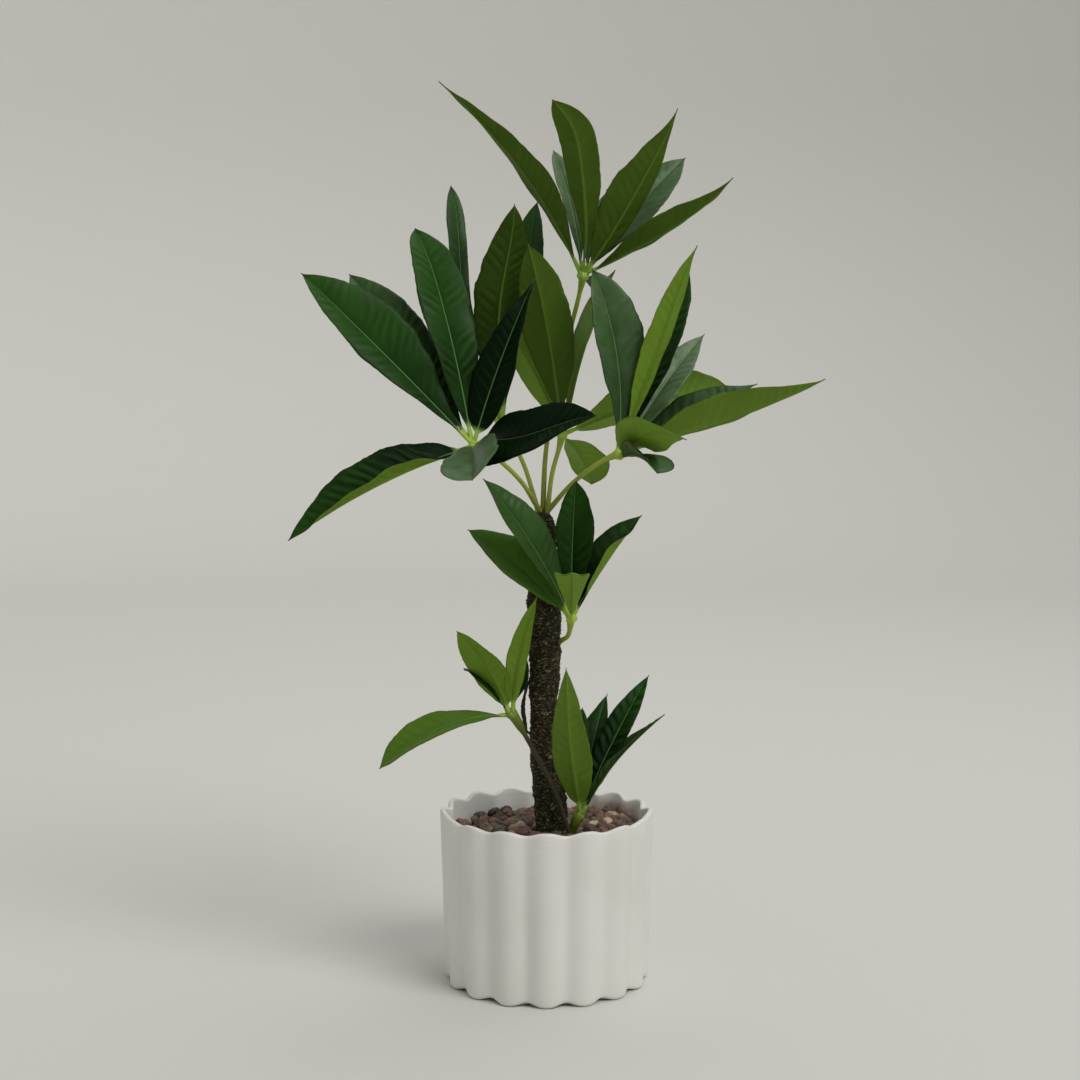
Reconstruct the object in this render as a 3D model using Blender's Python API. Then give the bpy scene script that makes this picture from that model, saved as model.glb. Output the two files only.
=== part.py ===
"""A potted money tree: a fluted pot with soil and pebbles, a bark-covered trunk, green
stalks, and whorls of long leaves.

The frame is +Z up, with the origin at the middle of the pot's flat underside. -Y is the
front. Sizes in the tables are in millimetres and angles are in degrees. A heading of 0
points to +X, and of 90 to +Y, the back. A rise is measured up from level.
"""
from math import cos, radians, sin, tau
from typing import NamedTuple

import bmesh
import bpy
from mathutils import Matrix, Vector

MM = 0.001
GAP = 0.3                      # clearance between touching pieces

# Pot
RIM_RADIUS = 60.0              # over the flute crests, at the rim
FOOT_RADIUS = 57.4             # over the flute crests, at the foot
POT_HEIGHT = 97.0
FLUTES = 16
FLUTE_DEPTH = 2.2
RIM_SCALLOP = 2.2              # how far the rim dips between two crests
WALL = 3.0
FLOOR = 5.0
FOOT_ROUND = 3.0
STEPS_PER_FLUTE = 4

# Fill
PEBBLE_TOP = 88.0
PEBBLE_DEPTH = 9.0
PEBBLE_BUMP = 1.3
FILL_RINGS = 5
FILL_SIDES = 32

# Leaf
LEAF_THICKNESS = 0.9
LEAF_START = 4.6               # from the middle of the hub to the foot of the leaf
STALK_PART = 0.07              # share of the leaf's length that is its own short stalk
STALK_WIDTH = 1.4
BLADE_STATIONS = (0.0, 0.12, 0.27, 0.43, 0.60, 0.76, 0.90)
BLADE_SWELL = 1.0              # higher moves the widest place towards the tip
BLADE_TAPER = 1.0              # higher makes the tip finer
EDGE_CURL = 6.0                # degrees that the outer half of each side turns back

# Stalks
STALK_RADIUS = 1.3
HUB_RADIUS = 2.6
NECK_CLEARANCE = 2.6           # from the hub's middle to the last ring of the plain stalk


class Leaf(NamedTuple):
    """One leaf of a whorl."""

    heading: float
    rise: float
    length: float
    width: float
    arch: float = 4.0          # how far the middle stands above the line from foot to tip
    roll: float = 0.0          # turn about its own length
    fold: float = 12.0         # how far each side is folded up from flat
    sway: float = 0.0          # sideways bow


class Whorl(NamedTuple):
    """A hub with its leaves, and the route of the stalk that carries it."""

    hub: tuple
    stalk: tuple
    leaves: tuple


TRUNK_ROUTE = (
    (2.5, -3, 5.5), (3, -3, 60), (2.5, -3, 95), (-0.5, -2, 130), (-1.5, -2, 160),
    (-1, -2, 188), (-1.5, -1, 215), (-3.5, 0, 240), (-1.5, 0, 266),
)
TRUNK_RADII = (9.0, 9.2, 9.0, 8.2, 7.8, 8.8, 9.4, 8.2, 7.0)

WHORLS = {
    "crown": Whorl(
        hub=(20.5, 12, 396),
        stalk=((-2, 4.2, 267.3), (0, 14, 301), (8, 20, 345), (17, 17, 380)),
        leaves=(
            Leaf(195, 51, 131, 25, arch=9, roll=15),
            Leaf(255, 64, 102, 27, arch=-4, sway=-9),
            Leaf(122, 66, 78, 22),
            Leaf(320, 54, 106, 26, arch=-4, roll=-28, sway=-3),
            Leaf(30, 45, 96, 26, roll=35),
            Leaf(345, 30, 98, 24, arch=-4, roll=-20, fold=18),
            Leaf(55, 57, 60, 12),
            Leaf(75, -15, 45, 18),
        ),
    ),
    "left": Whorl(
        hub=(-40, -25, 303),
        stalk=((-5, -2.5, 267.3), (-14, -10, 282), (-27, -19, 295)),
        leaves=(
            Leaf(180, 45, 130, 36, roll=-60, arch=2),
            Leaf(150, 49, 124, 29, roll=-35),
            Leaf(130, 68, 128, 31, roll=-15, arch=6),
            Leaf(22, 68, 97, 27, roll=45),
            Leaf(312, 10, 99, 31, roll=50),
            Leaf(272, -12, 75, 34, fold=12),
            Leaf(190, -27, 112, 30, arch=6, roll=-40, fold=24),
        ),
    ),
    "rear_left": Whorl(
        hub=(-26, 30, 313),
        stalk=((-5.5, 2.5, 267.3), (-12, 14, 288), (-20, 24, 304)),
        leaves=(
            Leaf(132, 72, 144, 23, roll=-12),
            Leaf(285, 75, 125, 30, arch=-4),
            Leaf(57, 70, 137, 28),
            Leaf(190, 38, 88, 24, roll=20),
        ),
    ),
    "rear": Whorl(
        hub=(9, 12, 308),
        stalk=((0.7, 0.8, 267.3), (3, 5, 285), (6.5, 9, 298)),
        leaves=(
            Leaf(222, 76, 107, 30, arch=-4, roll=35, sway=-3),
            Leaf(190, 62, 66, 25, roll=55),
            Leaf(350, 72, 95, 22, roll=-30),
            Leaf(10, 15, 99, 30, roll=-45),
            Leaf(60, -42, 46, 28),
        ),
    ),
    "right": Whorl(
        hub=(40, -18, 298),
        stalk=((2.5, -2, 267.3), (13.5, -5, 280), (28, -13, 292)),
        leaves=(
            Leaf(168, 81, 101, 30, roll=-55, sway=5),
            Leaf(340, 69, 119, 25, roll=-32),
            Leaf(48, 60, 110, 28, roll=20),
            Leaf(45, 43, 96, 24, roll=25),
            Leaf(355, 19, 117, 30, arch=1, roll=-35, fold=24),
            Leaf(22, 24, 92, 22, arch=2, roll=20),
            Leaf(292, 12, 70, 32, fold=26),
            Leaf(296, -13, 44, 18, roll=-20),
        ),
    ),
    "middle": Whorl(
        hub=(13.5, -26, 209),
        stalk=((8.8, -9, 194), (12, -17, 198)),
        leaves=(
            Leaf(197, 57, 91, 24, roll=-50),
            Leaf(176, 40, 74, 21, roll=-45),
            Leaf(78, 80, 75, 22),
            Leaf(15, 54, 68, 24, roll=35, fold=26),
            Leaf(270, 37, 45, 19),
        ),
    ),
    "low_left": Whorl(
        hub=(-19.5, -18, 155.5),
        stalk=((11, -17, 92), (3.5, -17, 113), (-8, -16, 135)),
        leaves=(
            Leaf(185, -23, 79, 21, arch=10, roll=-30),
            Leaf(220, 52, 61, 22, roll=20),
            Leaf(296, 64, 75, 17),
            Leaf(150, 34, 37, 18),
            Leaf(60, 70, 36, 16),
        ),
    ),
    "low_right": Whorl(
        hub=(18.5, -16, 98),
        stalk=((15.5, -14, 90.5), (16.5, -15, 93)),
        leaves=(
            Leaf(255, 70, 92, 26, arch=-3),
            Leaf(85, 72, 70, 17),
            Leaf(25, 60, 86, 22, roll=40),
            Leaf(65, 58, 72, 18),
            Leaf(338, 50, 75, 15, roll=10),
        ),
    ),
}

TENDRIL_ROUTE = ((-11, -4, 168), (-13.2, -5, 155), (-11.2, -5, 142))
TENDRIL_RADIUS = 0.7


def clear_scene():
    """Remove what a new file holds."""
    for thing in list(bpy.data.objects):
        bpy.data.objects.remove(thing)


def make_finish(name, colour, roughness):
    """Return a Principled material with a linear colour."""
    material = bpy.data.materials.new(name)
    material.use_nodes = True
    shader = material.node_tree.nodes["Principled BSDF"]
    shader.inputs["Base Color"].default_value = (*colour, 1.0)
    shader.inputs["Roughness"].default_value = roughness
    shader.inputs["Metallic"].default_value = 0.0
    return material


def place(name, data, material):
    """Put finished data in the scene as a named piece."""
    data.materials.append(material)
    piece = bpy.data.objects.new(name, data)
    bpy.context.collection.objects.link(piece)
    return piece


def loft(name, rings, first_cap, last_cap, material, sharp_angle=40):
    """Skin a row of closed rings, each end closed by a middle point, and place it.

    With no end points the last ring joins the first, as round a hole.
    """
    mesh = bmesh.new()
    loops = [[mesh.verts.new(Vector(point) * MM) for point in ring] for ring in rings]
    sides = len(loops[0])
    pairs = list(zip(loops, loops[1:]))
    if first_cap is None:
        pairs.append((loops[-1], loops[0]))
    for low, high in pairs:
        for i in range(sides):
            j = (i + 1) % sides
            mesh.faces.new((low[i], low[j], high[j], high[i]))
    for cap, ring in ((first_cap, loops[0]), (last_cap, loops[-1])):
        if cap is None:
            continue
        middle = mesh.verts.new(Vector(cap) * MM)
        for i in range(sides):
            mesh.faces.new((ring[i], ring[(i + 1) % sides], middle))
    bmesh.ops.recalc_face_normals(mesh, faces=mesh.faces)
    bmesh.ops.triangulate(mesh, faces=mesh.faces)
    data = bpy.data.meshes.new(name)
    mesh.to_mesh(data)
    mesh.free()
    data.shade_smooth()
    data.set_sharp_from_angle(angle=radians(sharp_angle))
    return place(name, data, material)


def smooth_route(points, steps):
    """Return points along a smooth curve through the given ones."""
    knots = [Vector(point) for point in points]
    ends = [knots[0] * 2 - knots[1]] + knots + [knots[-1] * 2 - knots[-2]]
    route = []
    for before, start, end, after in zip(ends, ends[1:], ends[2:], ends[3:]):
        for step in range(steps):
            t = step / steps
            bend = (2 * before - 5 * start + 4 * end - after) * t
            twist = (3 * start - before - 3 * end + after) * t * t
            route.append(start + 0.5 * t * (end - before + bend + twist))
    route.append(knots[-1])
    return route


def tube(name, route, radii, material, roundness=2):
    """Place a tube along a route, with a radius at each point and flat ends."""
    curve = bpy.data.curves.new(name, "CURVE")
    curve.dimensions = "3D"
    curve.bevel_depth = MM
    curve.bevel_resolution = roundness
    curve.use_fill_caps = True
    spline = curve.splines.new("POLY")
    spline.points.add(len(route) - 1)
    for point, place_at, radius in zip(spline.points, route, radii):
        point.co = (*(place_at * MM), 1.0)
        point.radius = radius
    return place(name, curve, material)


def flute(angle):
    """Return 1 on a flute's crest and 0 in the groove beside it."""
    lobe = abs(cos(angle * FLUTES / 2))
    return 0.5 * lobe + 0.5 * lobe * lobe


def crest_radius(height):
    """Return the pot's radius over its crests at a height."""
    return FOOT_RADIUS + (RIM_RADIUS - FOOT_RADIUS) * height / POT_HEIGHT


def pot_ring(height, inset, scallop=0.0):
    """Return one fluted ring, set in from the outer face, its dips lowered by scallop."""
    count = FLUTES * STEPS_PER_FLUTE
    ring = []
    for step in range(count):
        angle = tau * step / count
        dip = 1 - flute(angle)
        radius = crest_radius(height) - FLUTE_DEPTH * dip - inset
        ring.append((radius * cos(angle), radius * sin(angle), height - scallop * dip))
    return ring


def make_pot(material):
    """Build the fluted pot: foot, outer wall, scalloped rim, inner wall and floor."""
    rings = [pot_ring(0, FOOT_ROUND)]
    for quarter in (30, 60, 90):
        turn = radians(quarter)
        rings.append(pot_ring(FOOT_ROUND * (1 - cos(turn)), FOOT_ROUND * (1 - sin(turn))))
    rings.append(pot_ring(POT_HEIGHT - 1.2, 0, RIM_SCALLOP))
    rings.append(pot_ring(POT_HEIGHT, WALL * 0.3, RIM_SCALLOP))
    rings.append(pot_ring(POT_HEIGHT, WALL * 0.7, RIM_SCALLOP))
    rings.append(pot_ring(POT_HEIGHT - 1.2, WALL, RIM_SCALLOP))
    rings.append(pot_ring(FLOOR, WALL))
    return loft("pot", rings, (0, 0, 0), (0, 0, FLOOR), material)


def inner_radius(height):
    """Return the radius that clears the pot's inner wall all round at a height."""
    return crest_radius(height) - FLUTE_DEPTH - WALL - GAP - 0.2


def trunk_at(height):
    """Return the trunk's middle and radius at a height."""
    for low, high, thin, thick in zip(
        TRUNK_ROUTE, TRUNK_ROUTE[1:], TRUNK_RADII, TRUNK_RADII[1:]
    ):
        if low[2] <= height <= high[2]:
            part = (height - low[2]) / (high[2] - low[2])
            middle = Vector(low).lerp(Vector(high), part)
            return middle, thin + (thick - thin) * part
    return Vector(TRUNK_ROUTE[0]), TRUNK_RADII[0]


def fill_ring(height, part, bump=0.0):
    """Return a ring between the trunk (part 0) and the pot's wall (part 1)."""
    middle, trunk_radius = trunk_at(height)
    ring = []
    for step in range(FILL_SIDES):
        angle = tau * step / FILL_SIDES
        outward = Vector((cos(angle), sin(angle), 0))
        inner = Vector((middle.x, middle.y, 0)) + outward * (trunk_radius + 1.0)
        outer = outward * inner_radius(height)
        point = inner.lerp(outer, part)
        lift = bump * sin(5 * angle + 9 * part) * cos(3 * angle - 14 * part)
        ring.append((point.x, point.y, height + lift))
    return ring


def make_fill(name, bottom, top, bump, material):
    """Build a fill that rings the trunk, from one height to another."""
    top_rings = [
        fill_ring(top, step / FILL_RINGS, bump if 0 < step < FILL_RINGS else 0.0)
        for step in range(FILL_RINGS + 1)
    ]
    rings = [fill_ring(bottom, 0.0)] + top_rings + [fill_ring(bottom, 1.0)]
    return loft(name, rings, None, None, material)


def make_trunk(material):
    """Build the trunk, from the pot's floor to where the stalks leave it."""
    steps = 2
    route = smooth_route(TRUNK_ROUTE, steps)
    radii = []
    for thin, thick in zip(TRUNK_RADII, TRUNK_RADII[1:]):
        radii += [thin, (thin + thick) / 2]
    radii.append(TRUNK_RADII[-1])
    return tube("trunk", route, radii, material, roundness=4)


def make_stalk(name, whorl, material):
    """Build a stalk that swells into its whorl's hub."""
    route = smooth_route(whorl.stalk + (whorl.hub,), 4)
    outward = (route[-1] - route[-2]).normalized()
    hub = Vector(whorl.hub)
    route = [point for point in route if (point - hub).length > NECK_CLEARANCE]
    route += [hub - outward * 1.6, hub, hub + outward * 1.8]
    radii = [STALK_RADIUS] * (len(route) - 3) + [HUB_RADIUS * 0.85, HUB_RADIUS, 1.2]
    return tube(name, route, radii, material)


def leaf_axes(leaf):
    """Return a leaf's directions: along it, out of its upper face, and across it."""
    heading, rise = radians(leaf.heading), radians(leaf.rise)
    along = Vector((cos(rise) * cos(heading), cos(rise) * sin(heading), sin(rise)))
    out = (Vector((0, 0, 1)) - along * along.z).normalized()
    out = Matrix.Rotation(radians(leaf.roll), 3, along) @ out
    return along, out, along.cross(out)


def leaf_middle(hub, leaf, t):
    """Return the point of the midrib at a share t of the leaf's length."""
    along, out, across = leaf_axes(leaf)
    bow = 4 * t * (1 - t)
    reach = LEAF_START + (leaf.length - LEAF_START) * t
    return Vector(hub) + along * reach + out * leaf.arch * bow + across * leaf.sway * bow


def blade_width(leaf, b):
    """Return the blade's width at a share b of the blade's length."""
    peak = BLADE_SWELL / (BLADE_SWELL + BLADE_TAPER)
    shape = (b / peak) ** BLADE_SWELL * ((1 - b) / (1 - peak)) ** BLADE_TAPER
    return max(leaf.width * shape, STALK_WIDTH)


def leaf_section(hub, leaf, t, width):
    """Return the eight points round the leaf at t, from one edge over to the other."""
    step = 0.001
    middle = leaf_middle(hub, leaf, t)
    ahead = (leaf_middle(hub, leaf, t + step) - leaf_middle(hub, leaf, t - step)).normalized()
    _, out, _ = leaf_axes(leaf)
    out = (out - ahead * out.dot(ahead)).normalized()
    across = ahead.cross(out)
    spread = min(1.0, max(0.0, (t - STALK_PART) / 0.15))
    fold = radians(leaf.fold * spread)
    curl = radians(EDGE_CURL * spread)
    half = LEAF_THICKNESS / 2
    sides = []
    for sign in (-1, 1):
        inner = across * sign * cos(fold + curl) + out * sin(fold + curl)
        outer = across * sign * cos(fold - curl) + out * sin(fold - curl)
        quarter = middle + inner * width / 4
        sides.append((quarter, quarter + outer * width / 4))
    (left_quarter, left_edge), (right_quarter, right_edge) = sides
    thin = half * 0.7
    return [
        left_edge, left_quarter + out * thin, middle + out * half, right_quarter + out * thin,
        right_edge, right_quarter - out * thin, middle - out * half, left_quarter - out * thin,
    ]


def make_leaf(name, hub, leaf, material):
    """Build one leaf: a short flat stalk, a folded and arched blade, and a sharp tip."""
    rings = [leaf_section(hub, leaf, 0.02, STALK_WIDTH)]
    for b in BLADE_STATIONS:
        t = STALK_PART + (1 - STALK_PART) * b
        rings.append(leaf_section(hub, leaf, t, blade_width(leaf, b)))
    foot = leaf_middle(hub, leaf, 0.0)
    tip = leaf_middle(hub, leaf, 1.0)
    return loft(name, rings, foot, tip, material, sharp_angle=70)


def main():
    """Build every piece in its place."""
    clear_scene()
    ceramic = make_finish("white_ceramic", (0.66, 0.64, 0.60), 0.55)
    earth = make_finish("dark_soil", (0.03, 0.02, 0.015), 0.95)
    stone = make_finish("brown_pebble", (0.16, 0.10, 0.08), 0.85)
    bark = make_finish("olive_bark", (0.06, 0.05, 0.03), 0.9)
    stalk_green = make_finish("stalk_green", (0.25, 0.33, 0.05), 0.5)
    leaf_green = make_finish("leaf_green", (0.02, 0.09, 0.02), 0.45)
    pebble_floor = PEBBLE_TOP - PEBBLE_DEPTH
    make_pot(ceramic)
    make_fill("soil", FLOOR + GAP, pebble_floor - GAP, 0.0, earth)
    make_fill("pebble_layer", pebble_floor, PEBBLE_TOP, PEBBLE_BUMP, stone)
    make_trunk(bark)
    tendril = smooth_route(TENDRIL_ROUTE, 4)
    tube("tendril", tendril, [TENDRIL_RADIUS] * len(tendril), bark)
    for place_name, whorl in WHORLS.items():
        make_stalk(f"{place_name}_stalk", whorl, stalk_green)
        for number, leaf in enumerate(whorl.leaves, 1):
            make_leaf(f"{place_name}_leaf_{number}", whorl.hub, leaf, leaf_green)


main()
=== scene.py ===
"""A money tree in a fluted pot: each piece's fine shape and finish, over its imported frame."""
import logging
from dataclasses import dataclass
from enum import Enum
from math import cos, pi, radians, sin, tau

import bmesh
import bpy
import numpy as np
from mathutils import Matrix, Vector, noise


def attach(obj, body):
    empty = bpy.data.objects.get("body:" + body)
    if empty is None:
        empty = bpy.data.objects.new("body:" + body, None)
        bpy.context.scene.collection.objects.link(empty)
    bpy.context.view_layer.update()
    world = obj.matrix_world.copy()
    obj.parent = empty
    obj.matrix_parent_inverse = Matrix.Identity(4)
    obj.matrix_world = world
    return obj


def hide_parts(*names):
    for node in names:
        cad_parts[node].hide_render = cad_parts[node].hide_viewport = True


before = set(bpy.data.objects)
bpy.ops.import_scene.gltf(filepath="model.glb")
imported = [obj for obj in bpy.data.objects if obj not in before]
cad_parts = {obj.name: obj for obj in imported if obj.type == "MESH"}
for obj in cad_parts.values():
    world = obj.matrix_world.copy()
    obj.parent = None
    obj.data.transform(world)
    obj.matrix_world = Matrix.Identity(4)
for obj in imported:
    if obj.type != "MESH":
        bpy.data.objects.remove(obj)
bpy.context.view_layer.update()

MM = 0.001
BODY = "root"
log = logging.getLogger("money_tree")

# The sockets of a colour Mix node, whose names repeat.
SHARE, FIRST, SECOND, MIXED = 0, 6, 7, 2
# How far apart the bands of a Wave node of scale 1 are.
WAVE_GAP = tau / 20


def linear(colour: str) -> tuple[float, float, float, float]:
    """Turn an sRGB hex colour into the linear one that a shader takes.

    Args:
        colour: six hex digits after a hash.
    Returns:
        Red, green, blue and an alpha of 1.
    """
    parts = [int(colour[start:start + 2], 16) / 255 for start in (1, 3, 5)]
    red, green, blue = [
        part / 12.92 if part <= 0.04045 else ((part + 0.055) / 1.055) ** 2.4 for part in parts
    ]
    return red, green, blue, 1.0


class Recipe:
    """One new material and its node tree."""

    def __init__(self, name: str) -> None:
        """Start an empty material.

        Args:
            name: the finish, in plain words.
        """
        self.material = bpy.data.materials.new(name)
        self.material.use_nodes = True
        self.tree = self.material.node_tree
        self.tree.nodes.clear()

    def add(
        self,
        kind: str,
        inputs: dict[str | int, object] | None = None,
        stops: tuple[tuple[float, str], ...] = (),
        **settings: object,
    ) -> bpy.types.ShaderNode:
        """Add a node with its settings and links.

        Args:
            kind: the node's type after ShaderNode.
            inputs: by input name or number, the value or the socket that it takes.
            stops: a colour ramp's places and hex colours.
            settings: the node's own properties.
        Returns:
            The new node.
        """
        made = self.tree.nodes.new("ShaderNode" + kind)
        for name, value in settings.items():
            setattr(made, name, value)
        for key, value in (inputs or {}).items():
            if isinstance(value, bpy.types.NodeSocket):
                self.tree.links.new(value, made.inputs[key])
            else:
                made.inputs[key].default_value = value
        for number, (place, colour) in enumerate(stops):
            ramp = made.color_ramp.elements
            stop = ramp[number] if number < 2 else ramp.new(place)
            stop.position = place
            stop.color = linear(colour)
        return made

    def finish(self, surface: bpy.types.NodeSocket) -> bpy.types.Material:
        """Feed the output with the surface and return the material."""
        self.add("OutputMaterial", {"Surface": surface})
        return self.material


@dataclass(frozen=True)
class StudioPaper:
    """Matt backdrop paper: pale, even, and without any gloss."""

    colour: str = "#d9d8d3"
    roughness: float = 0.9
    gloss: float = 0.2

    def build(self) -> bpy.types.Material:
        """Mix the paper.

        Returns:
            The material.
        """
        recipe = Recipe("backdrop_paper")
        paper = recipe.add("BsdfPrincipled", {
            "Base Color": linear(self.colour), "Roughness": self.roughness,
            "Specular IOR Level": self.gloss,
        })
        return recipe.finish(paper.outputs["BSDF"])


@dataclass(frozen=True)
class MattGlaze:
    """Thrown stoneware under a thin matt glaze.

    The eye gets a warm white with a soft broad sheen, faint turning lines near the rim, a few
    iron specks, and a rusty water stain on the inner wall above the pebbles. Its grit is really
    much finer, and is drawn about a millimetre wide so that it shows.
    """

    body: str = "#e7e6e2"
    shade: str = "#e1dfda"
    # Painted light: a lighter white for the inner wall, which lies in shade.
    painted_light_lining: str = "#f7f6f3"
    stain: str = "#8a5a3c"
    speck: str = "#8f8672"
    roughness: float = 0.42
    ior: float = 1.5
    cloud_size: float = 45.5 * MM
    speck_gap: float = 7.7 * MM
    grit_size: float = 1.11 * MM
    line_gap: float = 3.4 * MM
    lines_from: float = 60 * MM
    lines_full: float = 90 * MM
    relief: float = 0.07 * MM
    stain_middle: tuple[float, float, float] = (41 * MM, 36 * MM, 88 * MM)
    stain_reach: float = 26 * MM
    stain_core: float = 6 * MM
    stain_top: float = 94.5 * MM
    stain_full: float = 87.5 * MM
    stain_patch: float = 6.25 * MM

    def stained(
        self, recipe: Recipe, place: bpy.types.NodeSocket, height: bpy.types.NodeSocket
    ) -> bpy.types.NodeSocket:
        """Spread the water stain over a spot just above the pebbles, in patches.

        Args:
            recipe: takes the nodes.
            place: where a point is.
            height: how high it is.
        Returns:
            How stained it is, from 0 to 1.
        """
        away = recipe.add("VectorMath", {0: place, 1: self.stain_middle}, operation="DISTANCE")
        near = recipe.add("MapRange", {
            "Value": away.outputs["Value"], "From Min": self.stain_reach,
            "From Max": self.stain_core,
        }, interpolation_type="SMOOTHSTEP")
        low = recipe.add("MapRange", {
            "Value": height, "From Min": self.stain_top, "From Max": self.stain_full,
        }, interpolation_type="SMOOTHSTEP")
        wet = recipe.add("Math", {0: near.outputs["Result"], 1: low.outputs["Result"]},
                         operation="MULTIPLY")
        drift = recipe.add("TexNoise", {
            "Vector": place, "Scale": 1 / self.stain_patch, "Detail": 4.0,
        })
        patchy = recipe.add("Math", {0: wet.outputs[0], 1: drift.outputs["Fac"]},
                            operation="MULTIPLY")
        return patchy.outputs[0]

    def tooled(
        self, recipe: Recipe, place: bpy.types.NodeSocket, height: bpy.types.NodeSocket
    ) -> bpy.types.NodeSocket:
        """Raise fine turning lines towards the rim, and grit all over.

        Args:
            recipe: takes the nodes.
            place: where a point is.
            height: how high it is.
        Returns:
            The way that the surface faces.
        """
        lines = recipe.add("TexWave", {
            "Vector": place, "Scale": WAVE_GAP / self.line_gap, "Distortion": 2.5,
            "Detail": 2.0, "Detail Scale": 3.0,
        }, bands_direction="Z")
        upper = recipe.add("MapRange", {
            "Value": height, "From Min": self.lines_from, "From Max": self.lines_full,
        }, interpolation_type="SMOOTHSTEP")
        turned = recipe.add("Math", {0: lines.outputs["Fac"], 1: upper.outputs["Result"]},
                            operation="MULTIPLY")
        grit = recipe.add("TexNoise", {
            "Vector": place, "Scale": 1 / self.grit_size, "Detail": 2.0,
        })
        relief = recipe.add("Math", {0: turned.outputs[0], 1: grit.outputs["Fac"]},
                            operation="ADD")
        bump = recipe.add("Bump", {
            "Height": relief.outputs[0], "Strength": 0.6, "Distance": self.relief,
        })
        return bump.outputs["Normal"]

    def build(self) -> bpy.types.Material:
        """Mix the glaze.

        Returns:
            The material.
        """
        recipe = Recipe("matt_glazed_stoneware")
        place = recipe.add("TexCoord").outputs["Object"]
        height = recipe.add("SeparateXYZ", {"Vector": place}).outputs["Z"]
        within = recipe.add("Attribute", attribute_name="inside").outputs["Fac"]
        cloud = recipe.add("TexNoise", {
            "Vector": place, "Scale": 1 / self.cloud_size, "Detail": 3.0,
        })
        tint = recipe.add("ValToRGB", {"Fac": cloud.outputs["Fac"]},
                          stops=((0.35, self.shade), (0.65, self.body)))
        # Painted light: the inner wall is painted a lighter white than the outside.
        painted_light_inside = recipe.add("Mix", {
            SHARE: within, FIRST: tint.outputs["Color"], SECOND: linear(self.painted_light_lining),
        }, data_type="RGBA")
        inner = recipe.add("Math", {0: self.stained(recipe, place, height), 1: within},
                           operation="MULTIPLY")
        rust = recipe.add("Math", {0: inner.outputs[0], 1: 1.5}, operation="MULTIPLY",
                          use_clamp=True)
        stained = recipe.add("Mix", {
            SHARE: rust.outputs[0], FIRST: painted_light_inside.outputs[MIXED], SECOND: linear(self.stain),
        }, data_type="RGBA")
        speckle = recipe.add("TexVoronoi", {"Vector": place, "Scale": 1 / self.speck_gap})
        speck = recipe.add("MapRange", {
            "Value": speckle.outputs["Distance"], "From Min": 0.045, "From Max": 0.02,
            "To Max": 0.25,
        })
        colour = recipe.add("Mix", {
            SHARE: speck.outputs["Result"], FIRST: stained.outputs[MIXED],
            SECOND: linear(self.speck),
        }, data_type="RGBA")
        gloss = recipe.add("MapRange", {
            "Value": cloud.outputs["Fac"], "To Min": self.roughness - 0.05,
            "To Max": self.roughness + 0.08,
        })
        glaze = recipe.add("BsdfPrincipled", {
            "Base Color": colour.outputs[MIXED], "Roughness": gloss.outputs["Result"],
            "Normal": self.tooled(recipe, place, height), "IOR": self.ior,
        })
        return recipe.finish(glaze.outputs["BSDF"])


@dataclass(frozen=True)
class WrinkledBark:
    """Bark of a young pachira stem: cork wrapped in fine fibres that wander round it.

    The eye gets a dark olive brown with mossy and rusty patches, with painted shade, near black,
    between the fibres and painted highlights, pale grey-brown, on their crests. The grain of real
    cork is finer than a millimetre, and is drawn about that wide so that it shows.
    """

    # Pit is painted shade between the fibres, and fibre a painted highlight on their crests.
    pit: str = "#0a0904"
    ground: str = "#26220f"
    fleck: str = "#4c4629"
    fibre: str = "#7c7453"
    moss: str = "#2e3314"
    rust: str = "#3a2312"
    roughness: float = 0.85
    gloss: float = 0.3
    grain_size: float = 0.91 * MM
    grain_depth: float = 0.3 * MM
    patch_size: float = 16.7 * MM

    def build(self) -> bpy.types.Material:
        """Mix the bark.

        Returns:
            The material.
        """
        recipe = Recipe("wrinkled_bark")
        place = recipe.add("TexCoord").outputs["Object"]
        relief = recipe.add("Attribute", attribute_name="relief")
        grain = recipe.add("TexNoise", {
            "Vector": place, "Scale": 1 / self.grain_size, "Detail": 3.0,
        })
        height = recipe.add("Math", {
            0: grain.outputs["Fac"], 1: 0.3, 2: relief.outputs["Fac"],
        }, operation="MULTIPLY_ADD")
        # The relief attribute runs from 0 in a pit to 1 on a crest, so this ramp paints shade in
        # the pits and a highlight on the crests.
        tint = recipe.add("ValToRGB", {"Fac": height.outputs[0]}, stops=(
            (0.2, self.pit), (0.42, self.ground), (0.72, self.fleck), (1.0, self.fibre),
        ))
        patch = recipe.add("TexNoise", {
            "Vector": place, "Scale": 1 / self.patch_size, "Detail": 2.0,
        })
        green = recipe.add("MapRange", {
            "Value": patch.outputs["Fac"], "From Min": 0.5, "From Max": 0.75, "To Max": 0.4,
        })
        mossy = recipe.add("Mix", {
            SHARE: green.outputs["Result"], FIRST: tint.outputs["Color"],
            SECOND: linear(self.moss),
        }, data_type="RGBA")
        red = recipe.add("MapRange", {
            "Value": patch.outputs["Fac"], "From Min": 0.48, "From Max": 0.3, "To Max": 0.45,
        })
        colour = recipe.add("Mix", {
            SHARE: red.outputs["Result"], FIRST: mossy.outputs[MIXED],
            SECOND: linear(self.rust),
        }, data_type="RGBA")
        bump = recipe.add("Bump", {
            "Height": grain.outputs["Fac"], "Strength": 0.7, "Distance": self.grain_depth,
        })
        bark = recipe.add("BsdfPrincipled", {
            "Base Color": colour.outputs[MIXED], "Roughness": self.roughness,
            "Specular IOR Level": self.gloss, "Normal": bump.outputs["Normal"],
        })
        return recipe.finish(bark.outputs["BSDF"])


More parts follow.
